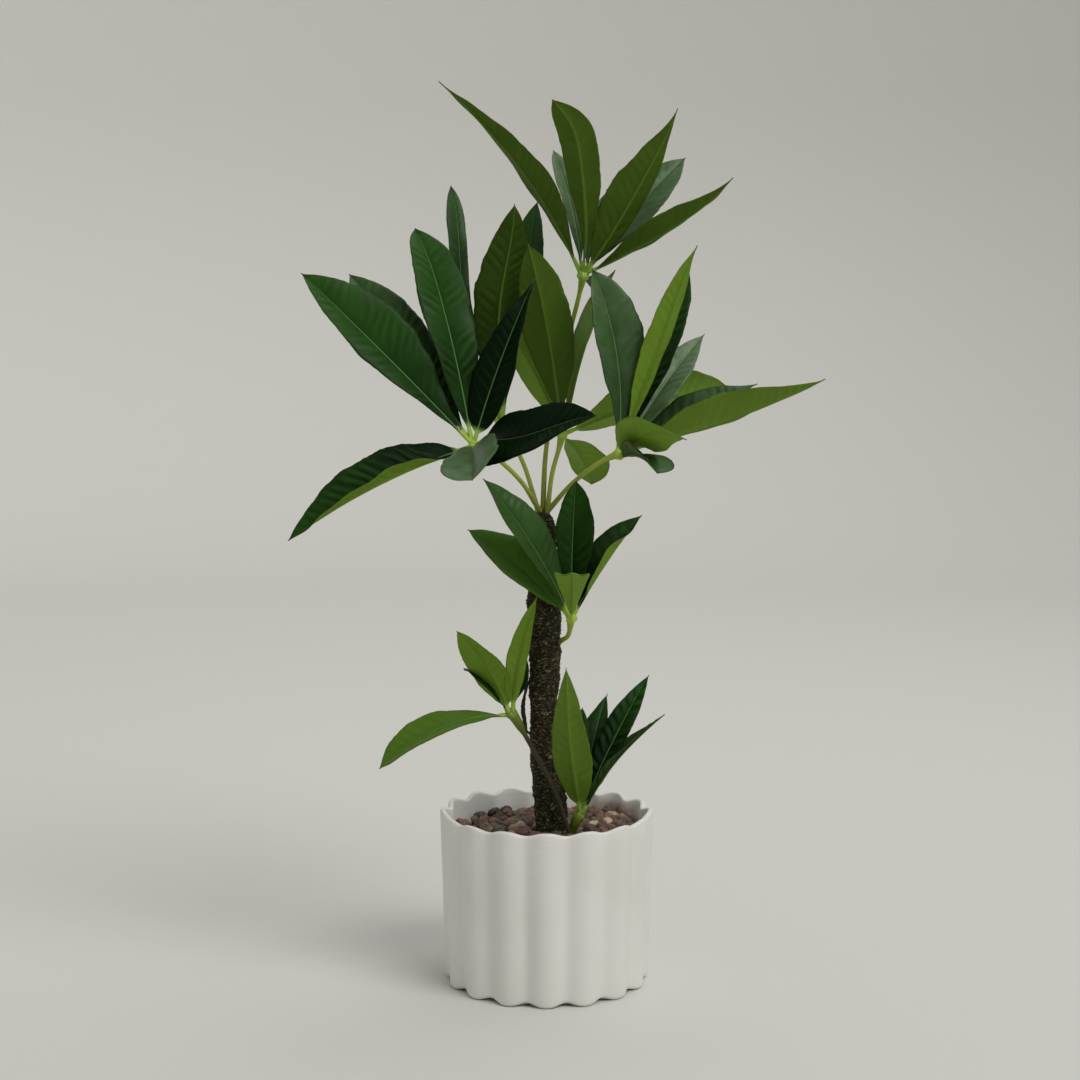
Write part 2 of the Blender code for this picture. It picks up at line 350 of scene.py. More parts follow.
@dataclass(frozen=True)
class StalkSkin:
    """Fresh leaf stalk: smooth, waxy and ribbed along its length.

    The eye gets olive green that turns bright yellow-green where the leaves join, with a soft
    gloss along the ribs.
    """

    name: str = "green_stalk"
    wood: str = "#453d26"
    foot: str = "#828130"
    middle: str = "#a2b046"
    head: str = "#b4d552"
    roughness: float = 0.45
    ior: float = 1.45
    through_share: float = 0.15
    mottle_size: float = 3.85 * MM
    mottle_depth: float = 0.2 * MM

    def build(self) -> bpy.types.Material:
        """Mix the skin.

        Returns:
            The material.
        """
        recipe = Recipe(self.name)
        share = recipe.add("Attribute", attribute_name="share")
        place = recipe.add("TexCoord").outputs["Object"]
        mottle = recipe.add("TexNoise", {
            "Vector": place, "Scale": 1 / self.mottle_size, "Detail": 3.0,
        })
        moved = recipe.add("Math", {0: mottle.outputs["Fac"], 1: 0.22, 2: share.outputs["Fac"]},
                           operation="MULTIPLY_ADD")
        tint = recipe.add("ValToRGB", {"Fac": moved.outputs[0]}, stops=(
            (0.1, self.wood), (0.24, self.foot), (0.45, self.middle), (1.0, self.head),
        ))
        bump = recipe.add("Bump", {
            "Height": mottle.outputs["Fac"], "Strength": 0.3, "Distance": self.mottle_depth,
        })
        skin = recipe.add("BsdfPrincipled", {
            "Base Color": tint.outputs["Color"], "Roughness": self.roughness,
            "IOR": self.ior, "Normal": bump.outputs["Normal"],
        })
        glow = recipe.add("BsdfTranslucent", {"Color": tint.outputs["Color"]})
        mixed = recipe.add("MixShader", {
            "Fac": self.through_share, 1: skin.outputs["BSDF"], 2: glow.outputs["BSDF"],
        })
        return recipe.finish(mixed.outputs["Shader"])


LIT_STALK = StalkSkin()
# The low stalks lie in the crown's shade, so their skin is a darker green from foot to head:
# painted shade over the lit stalk's colours.
PAINTED_SHADE_STALK = StalkSkin(
    name="painted_shade_stalk", wood="#3a3220", foot="#4b4f1a", middle="#647520", head="#7d9a34",
)


@dataclass(frozen=True)
class BladeFacts:
    """What a leaf's finish reads from its blade.

    in_mm is the place along and across the blade in millimetres. off_rib is the distance from
    the midrib in millimetres, and edgeward the same from 0 to 1 at the edge. along rises from 0
    at the foot to 1 at the tip, and off_vein from 0 on a side vein to 0.5 between two.
    """

    in_mm: bpy.types.NodeSocket
    off_rib: bpy.types.NodeSocket
    edgeward: bpy.types.NodeSocket
    along: bpy.types.NodeSocket
    off_vein: bpy.types.NodeSocket
    lightness: bpy.types.NodeSocket
    warmth: bpy.types.NodeSocket
    wax: bpy.types.NodeSocket

    @classmethod
    def read(cls, recipe: Recipe) -> "BladeFacts":
        """Read the facts from the blade's attributes.

        Args:
            recipe: takes the nodes.
        Returns:
            The facts.
        """
        in_mm, part, tone = [
            recipe.add("Attribute", attribute_name=name).outputs["Vector"]
            for name in ("blade_mm", "blade_part", "tone")
        ]
        mm, part, tone = [
            recipe.add("SeparateXYZ", {"Vector": vector}).outputs for vector in (in_mm, part, tone)
        ]
        off_rib = recipe.add("Math", {0: mm["X"]}, operation="ABSOLUTE")
        edgeward = recipe.add("Math", {0: part["X"]}, operation="ABSOLUTE")
        off_vein = recipe.add("Math", {0: part["Z"], 1: 0.5}, operation="PINGPONG")
        return cls(
            in_mm=in_mm, off_rib=off_rib.outputs[0], edgeward=edgeward.outputs[0],
            along=part["Y"], off_vein=off_vein.outputs[0], lightness=tone["X"],
            warmth=tone["Y"], wax=tone["Z"],
        )


@dataclass(frozen=True)
class LeafFace:
    """One face of a leathery leaf.

    The eye gets a green that shifts in patches, with painted light on the pillows between the side
    veins, a painted grey sheen in soft patches, a pale midrib, side veins that lean forward, a thin
    dark edge, a yellower foot, and light that comes through from behind. The net of small veins is
    really finer, and is drawn about a millimetre wide so that it shows.
    """

    name: str
    dark: str
    light: str
    yellow: str
    # The grey of the painted sheen, which stands in for reflected light.
    painted_sheen: str
    vein: str
    rib: str
    edge: str
    vein_show: float
    roughness: float
    gloss: float
    through: str
    through_share: float
    foot: str = "#b2d45e"
    through_dark: str = "#1c2c08"
    ior: float = 1.45
    patch_size: float = 16.7 * MM
    sheen_patch_size: float = 9.1 * MM
    net_size: float = 1.11 * MM
    grain_size: float = 2.86 * MM
    grain_depth: float = 0.12 * MM

    def green(
        self, recipe: Recipe, facts: BladeFacts
    ) -> tuple[bpy.types.NodeSocket, bpy.types.NodeSocket]:
        """Lay the green in patches, with painted light where the blade swells between its side
        veins.

        Args:
            recipe: takes the nodes.
            facts: what the blade gives.
        Returns:
            How light the green is, and its colour.
        """
        patch = recipe.add("TexNoise", {
            "Vector": facts.in_mm, "Scale": MM / self.patch_size, "Detail": 2.0,
        })
        shade = recipe.add("Math", {0: patch.outputs["Fac"], 1: 0.5, 2: facts.lightness},
                           operation="MULTIPLY_ADD")
        # Painted light: the pillows between the side veins are lighter, as if catching the light,
        # the more so where the ripple is deep.
        painted_pillow_light = recipe.add("MapRange", {
            "Value": facts.off_vein, "From Max": 0.5, "To Min": -0.1, "To Max": 0.1,
        }, interpolation_type="SMOOTHSTEP")
        depth = recipe.add("Attribute", attribute_name="ripple")
        rippled = recipe.add("Math", {
            0: painted_pillow_light.outputs["Result"], 1: depth.outputs["Fac"], 2: shade.outputs[0],
        }, operation="MULTIPLY_ADD")
        settled = recipe.add("MapRange", {
            "Value": rippled.outputs[0], "From Min": 0.1, "From Max": 1.4,
        })
        green = recipe.add("Mix", {
            SHARE: settled.outputs["Result"], FIRST: linear(self.dark),
            SECOND: linear(self.light),
        }, data_type="RGBA")
        warm = recipe.add("Mix", {
            SHARE: facts.warmth, FIRST: green.outputs[MIXED], SECOND: linear(self.yellow),
        }, data_type="RGBA")
        return settled.outputs["Result"], warm.outputs[MIXED]

    def waxed(
        self, recipe: Recipe, facts: BladeFacts, colour: bpy.types.NodeSocket
    ) -> tuple[bpy.types.NodeSocket, bpy.types.NodeSocket]:
        """Paint a grey sheen, which stands in for reflected light, over the green in soft patches.

        Args:
            recipe: takes the nodes.
            facts: what the blade gives.
            colour: the green.
        Returns:
            How strong the painted sheen is, and the new colour.
        """
        wax = recipe.add("TexNoise", {
            "Vector": facts.in_mm, "Scale": MM / self.sheen_patch_size, "Detail": 3.0,
        })
        patchy = recipe.add("MapRange", {
            "Value": wax.outputs["Fac"], "From Min": 0.3, "From Max": 0.7, "To Min": 0.6,
            "To Max": 1.4,
        })
        painted_sheen = recipe.add("Math", {0: patchy.outputs["Result"], 1: facts.wax},
                           operation="MULTIPLY", use_clamp=True)
        waxed = recipe.add("Mix", {
            SHARE: painted_sheen.outputs[0], FIRST: colour, SECOND: linear(self.painted_sheen),
        }, data_type="RGBA")
        return painted_sheen.outputs[0], waxed.outputs[MIXED]

    def veined(
        self, recipe: Recipe, facts: BladeFacts, colour: bpy.types.NodeSocket
    ) -> bpy.types.NodeSocket:
        """Draw the side veins, which fade towards the edge, and the edge with its dry tip.

        Args:
            recipe: takes the nodes.
            facts: what the blade gives.
            colour: the waxed green.
        Returns:
            The new colour.
        """
        line = recipe.add("MapRange", {
            "Value": facts.off_vein, "From Min": 0.1, "From Max": 0.0, "To Max": self.vein_show,
        }, interpolation_type="SMOOTHSTEP")
        inward = recipe.add("MapRange", {
            "Value": facts.edgeward, "From Min": 0.95, "From Max": 0.5,
        })
        vein = recipe.add("Math", {0: line.outputs["Result"], 1: inward.outputs["Result"]},
                          operation="MULTIPLY")
        veined = recipe.add("Mix", {
            SHARE: vein.outputs[0], FIRST: colour, SECOND: linear(self.vein),
        }, data_type="RGBA")
        rim = recipe.add("MapRange", {
            "Value": facts.edgeward, "From Min": 0.95, "From Max": 1.0, "To Max": 0.6,
        })
        tip = recipe.add("MapRange", {
            "Value": facts.along, "From Min": 0.955, "From Max": 0.99, "To Max": 0.9,
        })
        worn = recipe.add("Math", {0: rim.outputs["Result"], 1: tip.outputs["Result"]},
                          operation="MAXIMUM")
        edged = recipe.add("Mix", {
            SHARE: worn.outputs[0], FIRST: veined.outputs[MIXED], SECOND: linear(self.edge),
        }, data_type="RGBA")
        return edged.outputs[MIXED]

    def ribbed(
        self, recipe: Recipe, facts: BladeFacts, colour: bpy.types.NodeSocket
    ) -> bpy.types.NodeSocket:
        """Draw the midrib, wide at the foot and fine at the tip, and the bright foot.

        Args:
            recipe: takes the nodes.
            facts: what the blade gives.
            colour: the veined green.
        Returns:
            The new colour.
        """
        half = recipe.add("MapRange", {"Value": facts.along, "To Min": 0.42, "To Max": 0.05})
        past_rib = recipe.add("Math", {0: facts.off_rib, 1: half.outputs["Result"]},
                              operation="SUBTRACT")
        on_rib = recipe.add("MapRange", {
            "Value": past_rib.outputs[0], "From Min": 0.25, "From Max": -0.15, "To Max": 0.85,
        }, interpolation_type="SMOOTHSTEP")
        foot = recipe.add("MapRange", {
            "Value": facts.along, "From Min": 0.105, "From Max": 0.06,
        }, interpolation_type="SMOOTHSTEP")
        pale = recipe.add("Math", {0: on_rib.outputs["Result"], 1: foot.outputs["Result"]},
                          operation="MAXIMUM")
        fresh = recipe.add("Mix", {
            SHARE: foot.outputs["Result"], FIRST: linear(self.rib), SECOND: linear(self.foot),
        }, data_type="RGBA")
        ribbed = recipe.add("Mix", {
            SHARE: pale.outputs[0], FIRST: colour, SECOND: fresh.outputs[MIXED],
        }, data_type="RGBA")
        return ribbed.outputs[MIXED]

    def build(self) -> bpy.types.Material:
        """Mix the face.

        Returns:
            The material.
        """
        recipe = Recipe(self.name)
        facts = BladeFacts.read(recipe)
        lightness, green = self.green(recipe, facts)
        painted_sheen, waxed = self.waxed(recipe, facts, green)
        colour = self.ribbed(recipe, facts, self.veined(recipe, facts, waxed))
        # Leathery grain and the net of small veins.
        net = recipe.add("TexVoronoi", {"Vector": facts.in_mm, "Scale": MM / self.net_size},
                         feature="DISTANCE_TO_EDGE")
        grain = recipe.add("TexNoise", {
            "Vector": facts.in_mm, "Scale": MM / self.grain_size, "Detail": 4.0,
        })
        height = recipe.add("Math", {
            0: net.outputs["Distance"], 1: 0.5, 2: grain.outputs["Fac"],
        }, operation="MULTIPLY_ADD")
        bump = recipe.add("Bump", {
            "Height": height.outputs[0], "Strength": 0.35, "Distance": self.grain_depth,
        })
        gloss = recipe.add("MapRange", {
            "Value": grain.outputs["Fac"], "To Min": self.roughness - 0.08,
            "To Max": self.roughness + 0.1,
        })
        # The painted sheen also raises the real gloss.
        shine = recipe.add("MapRange", {
            "Value": painted_sheen, "To Min": self.gloss, "To Max": self.gloss + 0.6,
        })
        blade = recipe.add("BsdfPrincipled", {
            "Base Color": colour, "Roughness": gloss.outputs["Result"], "IOR": self.ior,
            "Specular IOR Level": shine.outputs["Result"], "Normal": bump.outputs["Normal"],
        })
        # A dark leaf lets little light through.
        let_in = recipe.add("Mix", {
            SHARE: lightness, FIRST: linear(self.through_dark), SECOND: linear(self.through),
        }, data_type="RGBA")
        glow = recipe.add("BsdfTranslucent", {"Color": let_in.outputs[MIXED]})
        mixed = recipe.add("MixShader", {
            "Fac": self.through_share, 1: blade.outputs["BSDF"], 2: glow.outputs["BSDF"],
        })
        return recipe.finish(mixed.outputs["Shader"])


# The upper face has a satin shine over a deep green, with a painted grey sheen for its reflections.
UPPER_FACE = LeafFace(
    name="leaf_upper_face", dark="#041a05", light="#386a20", yellow="#6b9030",
    painted_sheen="#607955", vein="#3a6a30", rib="#6d9a5c", edge="#1c1a0c", vein_show=0.15,
    roughness=0.4, gloss=0.1, through="#b4d634", through_share=0.16,
)
# The underside is duller, yellower and more veined, and lets more light through.
UNDER_FACE = LeafFace(
    name="leaf_underside", dark="#183a03", light="#566f22", yellow="#86ab38",
    painted_sheen="#7c9468", vein="#5a742a", rib="#6d8a36", edge="#4a4a20", vein_show=0.25,
    roughness=0.55, gloss=0.15, through="#b4d634", through_share=0.28,
)


@dataclass(frozen=True)
class RiverPebble:
    """Tumbled river stone, dry.

    The eye gets a matt face with a faint polish, each stone of its own brown, with pale dust and
    painted highlights on the raised grain, and darker bands.
    """

    dust_and_highlight: str = "#b09a80"
    band: str = "#3a2c26"
    roughness: float = 0.6
    grain_size: float = 1.43 * MM
    grain_depth: float = 0.6 * MM
    band_size: float = 4.17 * MM

    def build(self) -> bpy.types.Material:
        """Mix the stone.

        Returns:
            The material.
        """
        recipe = Recipe("dry_river_pebble")
        place = recipe.add("TexCoord").outputs["Object"]
        own = recipe.add("Attribute", attribute_name="stone")
        fine = recipe.add("TexNoise", {
            "Vector": place, "Scale": 1 / self.grain_size, "Detail": 4.0,
        })
        bands = recipe.add("TexNoise", {
            "Vector": place, "Scale": 1 / self.band_size, "Distortion": 1.5,
        })
        # Pale dust, and a painted highlight, on the grain's raised spots, which the bump lifts.
        dust_and_highlight = recipe.add("MapRange", {
            "Value": fine.outputs["Fac"], "From Min": 0.45, "From Max": 0.7, "To Max": 0.32,
        })
        dusty = recipe.add("Mix", {
            SHARE: dust_and_highlight.outputs["Result"], FIRST: own.outputs["Color"],
            SECOND: linear(self.dust_and_highlight),
        }, data_type="RGBA")
        dark = recipe.add("MapRange", {
            "Value": bands.outputs["Fac"], "From Min": 0.55, "From Max": 0.7, "To Max": 0.4,
        })
        colour = recipe.add("Mix", {
            SHARE: dark.outputs["Result"], FIRST: dusty.outputs[MIXED],
            SECOND: linear(self.band),
        }, data_type="RGBA")
        bump = recipe.add("Bump", {
            "Height": fine.outputs["Fac"], "Strength": 0.7, "Distance": self.grain_depth,
        })
        stone = recipe.add("BsdfPrincipled", {
            "Base Color": colour.outputs[MIXED], "Roughness": self.roughness,
            "Normal": bump.outputs["Normal"],
        })
        return recipe.finish(stone.outputs["BSDF"])


@dataclass(frozen=True)
class PottingSoil:
    """Damp peat: the eye gets a near black that is crumbly and dull, darker than the peat itself as
    painted shade in the gaps between the pebbles.
    """

    # Painted shade: both colours are darker than peat, for the shade between the pebbles.
    pit: str = "#0b0806"
    crumb: str = "#1d1610"
    roughness: float = 0.95
    crumb_size: float = 2.22 * MM
    crumb_depth: float = 0.8 * MM

    def build(self) -> bpy.types.Material:
        """Mix the peat.

        Returns:
            The material.
        """
        recipe = Recipe("peat_with_painted_shade")
        place = recipe.add("TexCoord").outputs["Object"]
        crumb = recipe.add("TexNoise", {
            "Vector": place, "Scale": 1 / self.crumb_size, "Detail": 6.0,
        })
        tint = recipe.add("ValToRGB", {"Fac": crumb.outputs["Fac"]},
                          stops=((0.35, self.pit), (0.7, self.crumb)))
        bump = recipe.add("Bump", {
            "Height": crumb.outputs["Fac"], "Strength": 1.0, "Distance": self.crumb_depth,
        })
        soil = recipe.add("BsdfPrincipled", {
            "Base Color": tint.outputs["Color"], "Roughness": self.roughness,
            "Normal": bump.outputs["Normal"],
        })
        return recipe.finish(soil.outputs["BSDF"])


def ease(value: np.ndarray, start: float, end: float) -> np.ndarray:
    """Rise smoothly from 0 at start to 1 at end, which may be the lower of the two."""
    share = np.clip((value - start) / (end - start), 0.0, 1.0)
    return share * share * (3 - 2 * share)


def through(knots: np.ndarray, values: np.ndarray, where: np.ndarray) -> np.ndarray:
    """Read a smooth curve through values at knots.

    Args:
        knots: rising places along the curve.
        values: one row for each knot.
        where: the places to read.
    Returns:
        One row for each place.
    """
    slopes = np.gradient(values, knots, axis=0)
    before = np.clip(np.searchsorted(knots, where, side="right") - 1, 0, len(knots) - 2)
    step = knots[before + 1] - knots[before]
    t = (where - knots[before]) / step
    shape = (-1,) + (1,) * (values.ndim - 1)
    t, step = t.reshape(shape), step.reshape(shape)
    start, end = values[before], values[before + 1]
    rise, fall = slopes[before] * step, slopes[before + 1] * step
    return (
        (2 * t ** 3 - 3 * t ** 2 + 1) * start + (t ** 3 - 2 * t ** 2 + t) * rise
        + (3 * t ** 2 - 2 * t ** 3) * end + (t ** 3 - t ** 2) * fall
    )


def lengths_along(points: np.ndarray) -> np.ndarray:
    """Return how far along a line of points each one is."""
    steps = np.linalg.norm(np.diff(points, axis=0), axis=1)
    return np.concatenate([[0.0], np.cumsum(steps)])


def unit(vectors: np.ndarray) -> np.ndarray:
    """Return vectors scaled to length 1."""
    return vectors / np.maximum(np.linalg.norm(vectors, axis=-1, keepdims=True), 1e-12)


class SolidReader:
    """Reads the rings of points that a lofted solid is built from."""

    def __init__(self, node: str) -> None:
        """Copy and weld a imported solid's mesh.

        Args:
            node: the solid's name.
        """
        self.mesh = bmesh.new()
        self.mesh.from_mesh(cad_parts[node].data)
        bmesh.ops.remove_doubles(self.mesh, verts=self.mesh.verts, dist=1e-6)
        self.mesh.verts.ensure_lookup_table()
        self.points = np.array([vertex.co for vertex in self.mesh.verts])

    def steps_from(self, start: list[int]) -> list[list[int]]:
        """Group the points by how many edges they are from the first ones.

        Args:
            start: the first points' numbers.
        Returns:
            The groups of numbers, the first ones ahead.
        """
        seen = set(start)
        layers = [start]
        while layers[-1]:
            layer = []
            for index in layers[-1]:
                for edge in self.mesh.verts[index].link_edges:
                    other = edge.other_vert(self.mesh.verts[index]).index
                    if other not in seen:
                        seen.add(other)
                        layer.append(other)
            layers.append(layer)
        return layers[:-1]

    def round_order(self, layer: list[int]) -> list[int]:
        """Put a ring's points in their order round it.

        Args:
            layer: the points' numbers in any order.
        Returns:
            The numbers in order.
        """
        ring = set(layer)
        order = [layer[0]]
        while len(order) < len(layer):
            near = [edge.other_vert(self.mesh.verts[order[-1]]).index
                    for edge in self.mesh.verts[order[-1]].link_edges]
            order.append(next(index for index in near if index in ring and index not in order))
        return order

    def farthest_pair(self) -> tuple[int, int]:
        """Return the two points that are farthest apart."""
        gaps = np.linalg.norm(self.points[:, None] - self.points[None], axis=2)
        return divmod(int(np.argmax(gaps)), len(self.points))

    def tube_line(self, start: list[int]) -> np.ndarray:
        """Return the middle of each ring of a tube, from the ring it starts at."""
        return np.array([self.points[layer].mean(axis=0) for layer in self.steps_from(start)])


def lay_sheet(
    name: str, points: np.ndarray, facts: dict[str, np.ndarray] | None = None
) -> bpy.types.Object:
    """Lay a grid on a surface, and weld it where the surface closes.

    Args:
        name: the piece's name.
        points: rows by columns of points, whose columns turn left of its rows.
        facts: named values for the finish, one for each point.
    Returns:
        The piece.
    """
    rows, columns = points.shape[0] - 1, points.shape[1] - 1
    bpy.ops.object.select_all(action="DESELECT")
    bpy.ops.mesh.primitive_grid_add(x_subdivisions=columns, y_subdivisions=rows, size=2)
    piece = bpy.context.object
    piece.name = name
    piece.data.name = name
    row, column, _ = grid_places(piece.data, rows, columns)
    piece.data.vertices.foreach_set("co", points[row, column].ravel())
    for fact, values in (facts or {}).items():
        set_fact(piece.data, fact, values[row, column])
    bpy.ops.object.mode_set(mode="EDIT")
    bpy.ops.mesh.select_all(action="SELECT")
    bpy.ops.mesh.remove_doubles(threshold=1e-6)
    bpy.ops.mesh.normals_make_consistent(inside=False)
    bpy.ops.object.mode_set(mode="OBJECT")
    return piece


def grid_places(
    mesh: bpy.types.Mesh, rows: int, columns: int
) -> tuple[np.ndarray, np.ndarray, np.ndarray]:
    """Find where each point is on a flat grid that is 2 wide.

    Args:
        mesh: the grid.
        rows: how many faces long it is.
        columns: how many faces wide it is.
    Returns:
        Each point's row, column and height.
    """
    flat = np.empty(len(mesh.vertices) * 3)
    mesh.vertices.foreach_get("co", flat)
    flat = flat.reshape(-1, 3)
    column = np.rint((flat[:, 0] + 1) / 2 * columns).astype(int)
    row = np.rint((flat[:, 1] + 1) / 2 * rows).astype(int)
    return row, column, flat[:, 2]


def set_fact(mesh: bpy.types.Mesh, name: str, values: np.ndarray) -> None:
    """Write a number, or a row of three, on each point of a mesh.

    Args:
        mesh: the mesh.
        name: what a finish reads it by.
        values: one number or row for each point.
    """
    kind, key = ("FLOAT_VECTOR", "vector") if values.ndim == 2 else ("FLOAT", "value")
    fact = mesh.attributes.new(name, kind, "POINT")
    fact.data.foreach_set(key, values.astype(np.float32).ravel())


def settle(piece: bpy.types.Object, node: str) -> bpy.types.Object:
    """Smooth a finished piece, tie it to the body, and let it stand for its solid.

    Args:
        piece: the finished piece.
        node: the solid that it stands for.
    Returns:
        The piece.
    """
    piece.data.shade_smooth()
    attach(piece, BODY)
    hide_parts(node)
    return piece


@dataclass
class Tube:
    """A round stem along a route, whose ends close when its radius falls to nothing."""

    route: np.ndarray
    radii: np.ndarray
    sides: int

    def frames(self) -> tuple[np.ndarray, np.ndarray]:
        """Carry two directions across the route along it, untwisted.

        Returns:
            The two directions at each point.
        """
        ahead = unit(np.gradient(self.route, axis=0))
        normal = np.cross(ahead[0], (0.0, 1.0, 0.0))
        normals = []
        for way in ahead:
            normal = normal - way * normal.dot(way)
            normal = normal / np.linalg.norm(normal)
            normals.append(normal)
        normals = np.array(normals)
        return normals, np.cross(ahead, normals)

    def angles(self) -> np.ndarray:
        """Return the angle of each column, the first repeated as the last."""
        return np.linspace(0, tau, self.sides + 1)

    def surface(self, relief: np.ndarray | float = 0.0) -> np.ndarray:
        """Wrap the stem's skin round the route.

        Args:
            relief: how far each point stands out, rows by columns.
        Returns:
            Rows by columns of points.
        """
        normals, sideways = self.frames()
        turn = self.angles()[None, :, None]
        out = normals[:, None] * np.cos(turn) + sideways[:, None] * np.sin(turn)
        reach = self.radii[:, None] + relief
        return self.route[:, None] + out * reach[..., None]


@dataclass
class FlutedPot:
    """The pot: a turned wall pressed into flutes, with a scalloped lip and foot."""

    flutes: int = 16
    columns: int = 320
    rim_radius: float = 60 * MM
    foot_radius: float = 57.4 * MM
    height: float = 97 * MM
    wall: float = 3 * MM
    floor: float = 5 * MM
    foot_round: float = 2.4 * MM
    flute_depth: float = 2.8 * MM
    crease: float = 0.86
    scallop: float = 2.3 * MM
    scallop_point: float = 1.35
    foot_scallop: float = 1.9 * MM
    foot_scallop_height: float = 12 * MM
    wobble: float = 0.18 * MM
    wobbles_in_metre: float = 28.0
    wall_rows: int = 36
    round_steps: int = 6
    lip_steps: int = 10
    floor_rings: int = 5
    floor_ring_gap: float = 8 * MM

    def profile(self) -> list[tuple[float, float]]:
        """Draw the turned profile up the outer face, over the lip and down the inside.

        Returns:
            For each step, how far in from the outer face it is, and how high.
        """
        arc = [radians(90 * step / self.round_steps) for step in range(self.round_steps + 1)]
        foot = [
            (self.foot_round * (1 - sin(turn)), self.foot_round * (1 - cos(turn)))
            for turn in arc
        ]
        half = self.wall / 2
        low, high = self.foot_round, self.height - half
        outside = [
            (0.0, low + (high - low) * step / self.wall_rows)
            for step in range(1, self.wall_rows + 1)
        ]
        over = [pi * step / self.lip_steps for step in range(1, self.lip_steps + 1)]
        lip = [(half * (1 - cos(turn)), high + half * sin(turn)) for turn in over]
        inside = [
            (self.wall, high + (self.floor - high) * step / self.wall_rows)
            for step in range(1, self.wall_rows + 1)
        ]
        return foot + outside + lip + inside

    def radius_at(self, height: float) -> float:
        """Return the radius over the crests at a height."""
        return self.foot_radius + (self.rim_radius - self.foot_radius) * height / self.height

    def turn(self) -> bpy.types.Object:
        """Turn the plain pot: a ring drawn up and scaled along the profile, its ends closed.

        Returns:
            The plain pot.
        """
        rings = [(self.radius_at(high) - inset, high) for inset, high in self.profile()]
        first_radius, first_height = rings[0]
        bpy.ops.object.select_all(action="DESELECT")
        bpy.ops.mesh.primitive_circle_add(
            vertices=self.columns, radius=first_radius, location=(0, 0, first_height),
            fill_type="NGON",
        )
        pot = bpy.context.object
        pot.name = "pot_shell"
        bpy.ops.object.transform_apply(location=True, rotation=False, scale=False)
        bpy.ops.object.mode_set(mode="EDIT")
        bpy.ops.mesh.select_all(action="SELECT")
        for (radius, height), (wider, higher) in zip(rings, rings[1:]):
            bpy.ops.mesh.extrude_region_move(
                TRANSFORM_OT_translate={"value": (0, 0, higher - height)}
            )
            grow = wider / radius
            bpy.ops.transform.resize(value=(grow, grow, 1), center_override=(0, 0, higher))
        for _ in range(self.floor_rings):
            bpy.ops.mesh.inset(thickness=self.floor_ring_gap)
        bpy.ops.mesh.select_all(action="SELECT")
        bpy.ops.mesh.normals_make_consistent(inside=False)
        bpy.ops.object.mode_set(mode="OBJECT")
        return pot

    def press(self, pot: bpy.types.Object) -> None:
        """Press the flutes, the scalloped lip and the scalloped foot into the turned pot.

        Args:
            pot: the plain pot.
        """
        foot = self.foot_radius
        for vertex in pot.data.vertices:
            x, y, z = vertex.co
            radius = (x * x + y * y) ** 0.5
            valley = (1 - cos(np.arctan2(y, x) * self.flutes)) / 2
            dip = valley ** self.scallop_point
            flute = (1 - (1 - self.crease * valley) ** 0.5) / (1 - (1 - self.crease) ** 0.5)
            # The middle of the floor and of the underside stays flat.
            share = min(1.0, max(0.0, (radius - 0.3 * foot) / (0.5 * foot)))
            wobble = self.wobble * noise.noise(vertex.co * self.wobbles_in_metre)
            pressed = radius - self.flute_depth * flute * share + wobble * share
            grow = pressed / radius if radius else 1.0
            lowered = self.scallop * dip * float(ease(z, 0.5 * self.height, self.height))
            under = float(ease(radius, 0.86 * foot, 0.95 * foot))
            near = float(ease(z, self.foot_scallop_height, 0.0))
            lifted = self.foot_scallop * dip * under * near
            vertex.co = (x * grow, y * grow, z - lowered + lifted)

    def build(self, glaze: bpy.types.Material) -> bpy.types.Object:
        """Build the pot and give it its glaze.

        Args:
            glaze: the finish.
        Returns:
            The pot.
        """
        pot = self.turn()
        self.press(pot)
        # The inner wall is where the faces look towards the pot's axis.
        inward = [
            -vertex.normal.dot(Vector((*vertex.co.xy, 0)).normalized())
            for vertex in pot.data.vertices
        ]
        set_fact(pot.data, "inside", ease(np.array(inward), 0.2, 0.8))
        pot.data.materials.append(glaze)
        return settle(pot, "pot")


class PebbleTint(Enum):
    """The stones' colours, with how often each turns up."""

    RED_BROWN = ("#6c4636", 5)
    MAUVE = ("#785748", 4)
    UMBER = ("#42342b", 6)
    GREY = ("#645540", 4)
    TAN = ("#8f7355", 2)
    CREAM = ("#c4b092", 2)


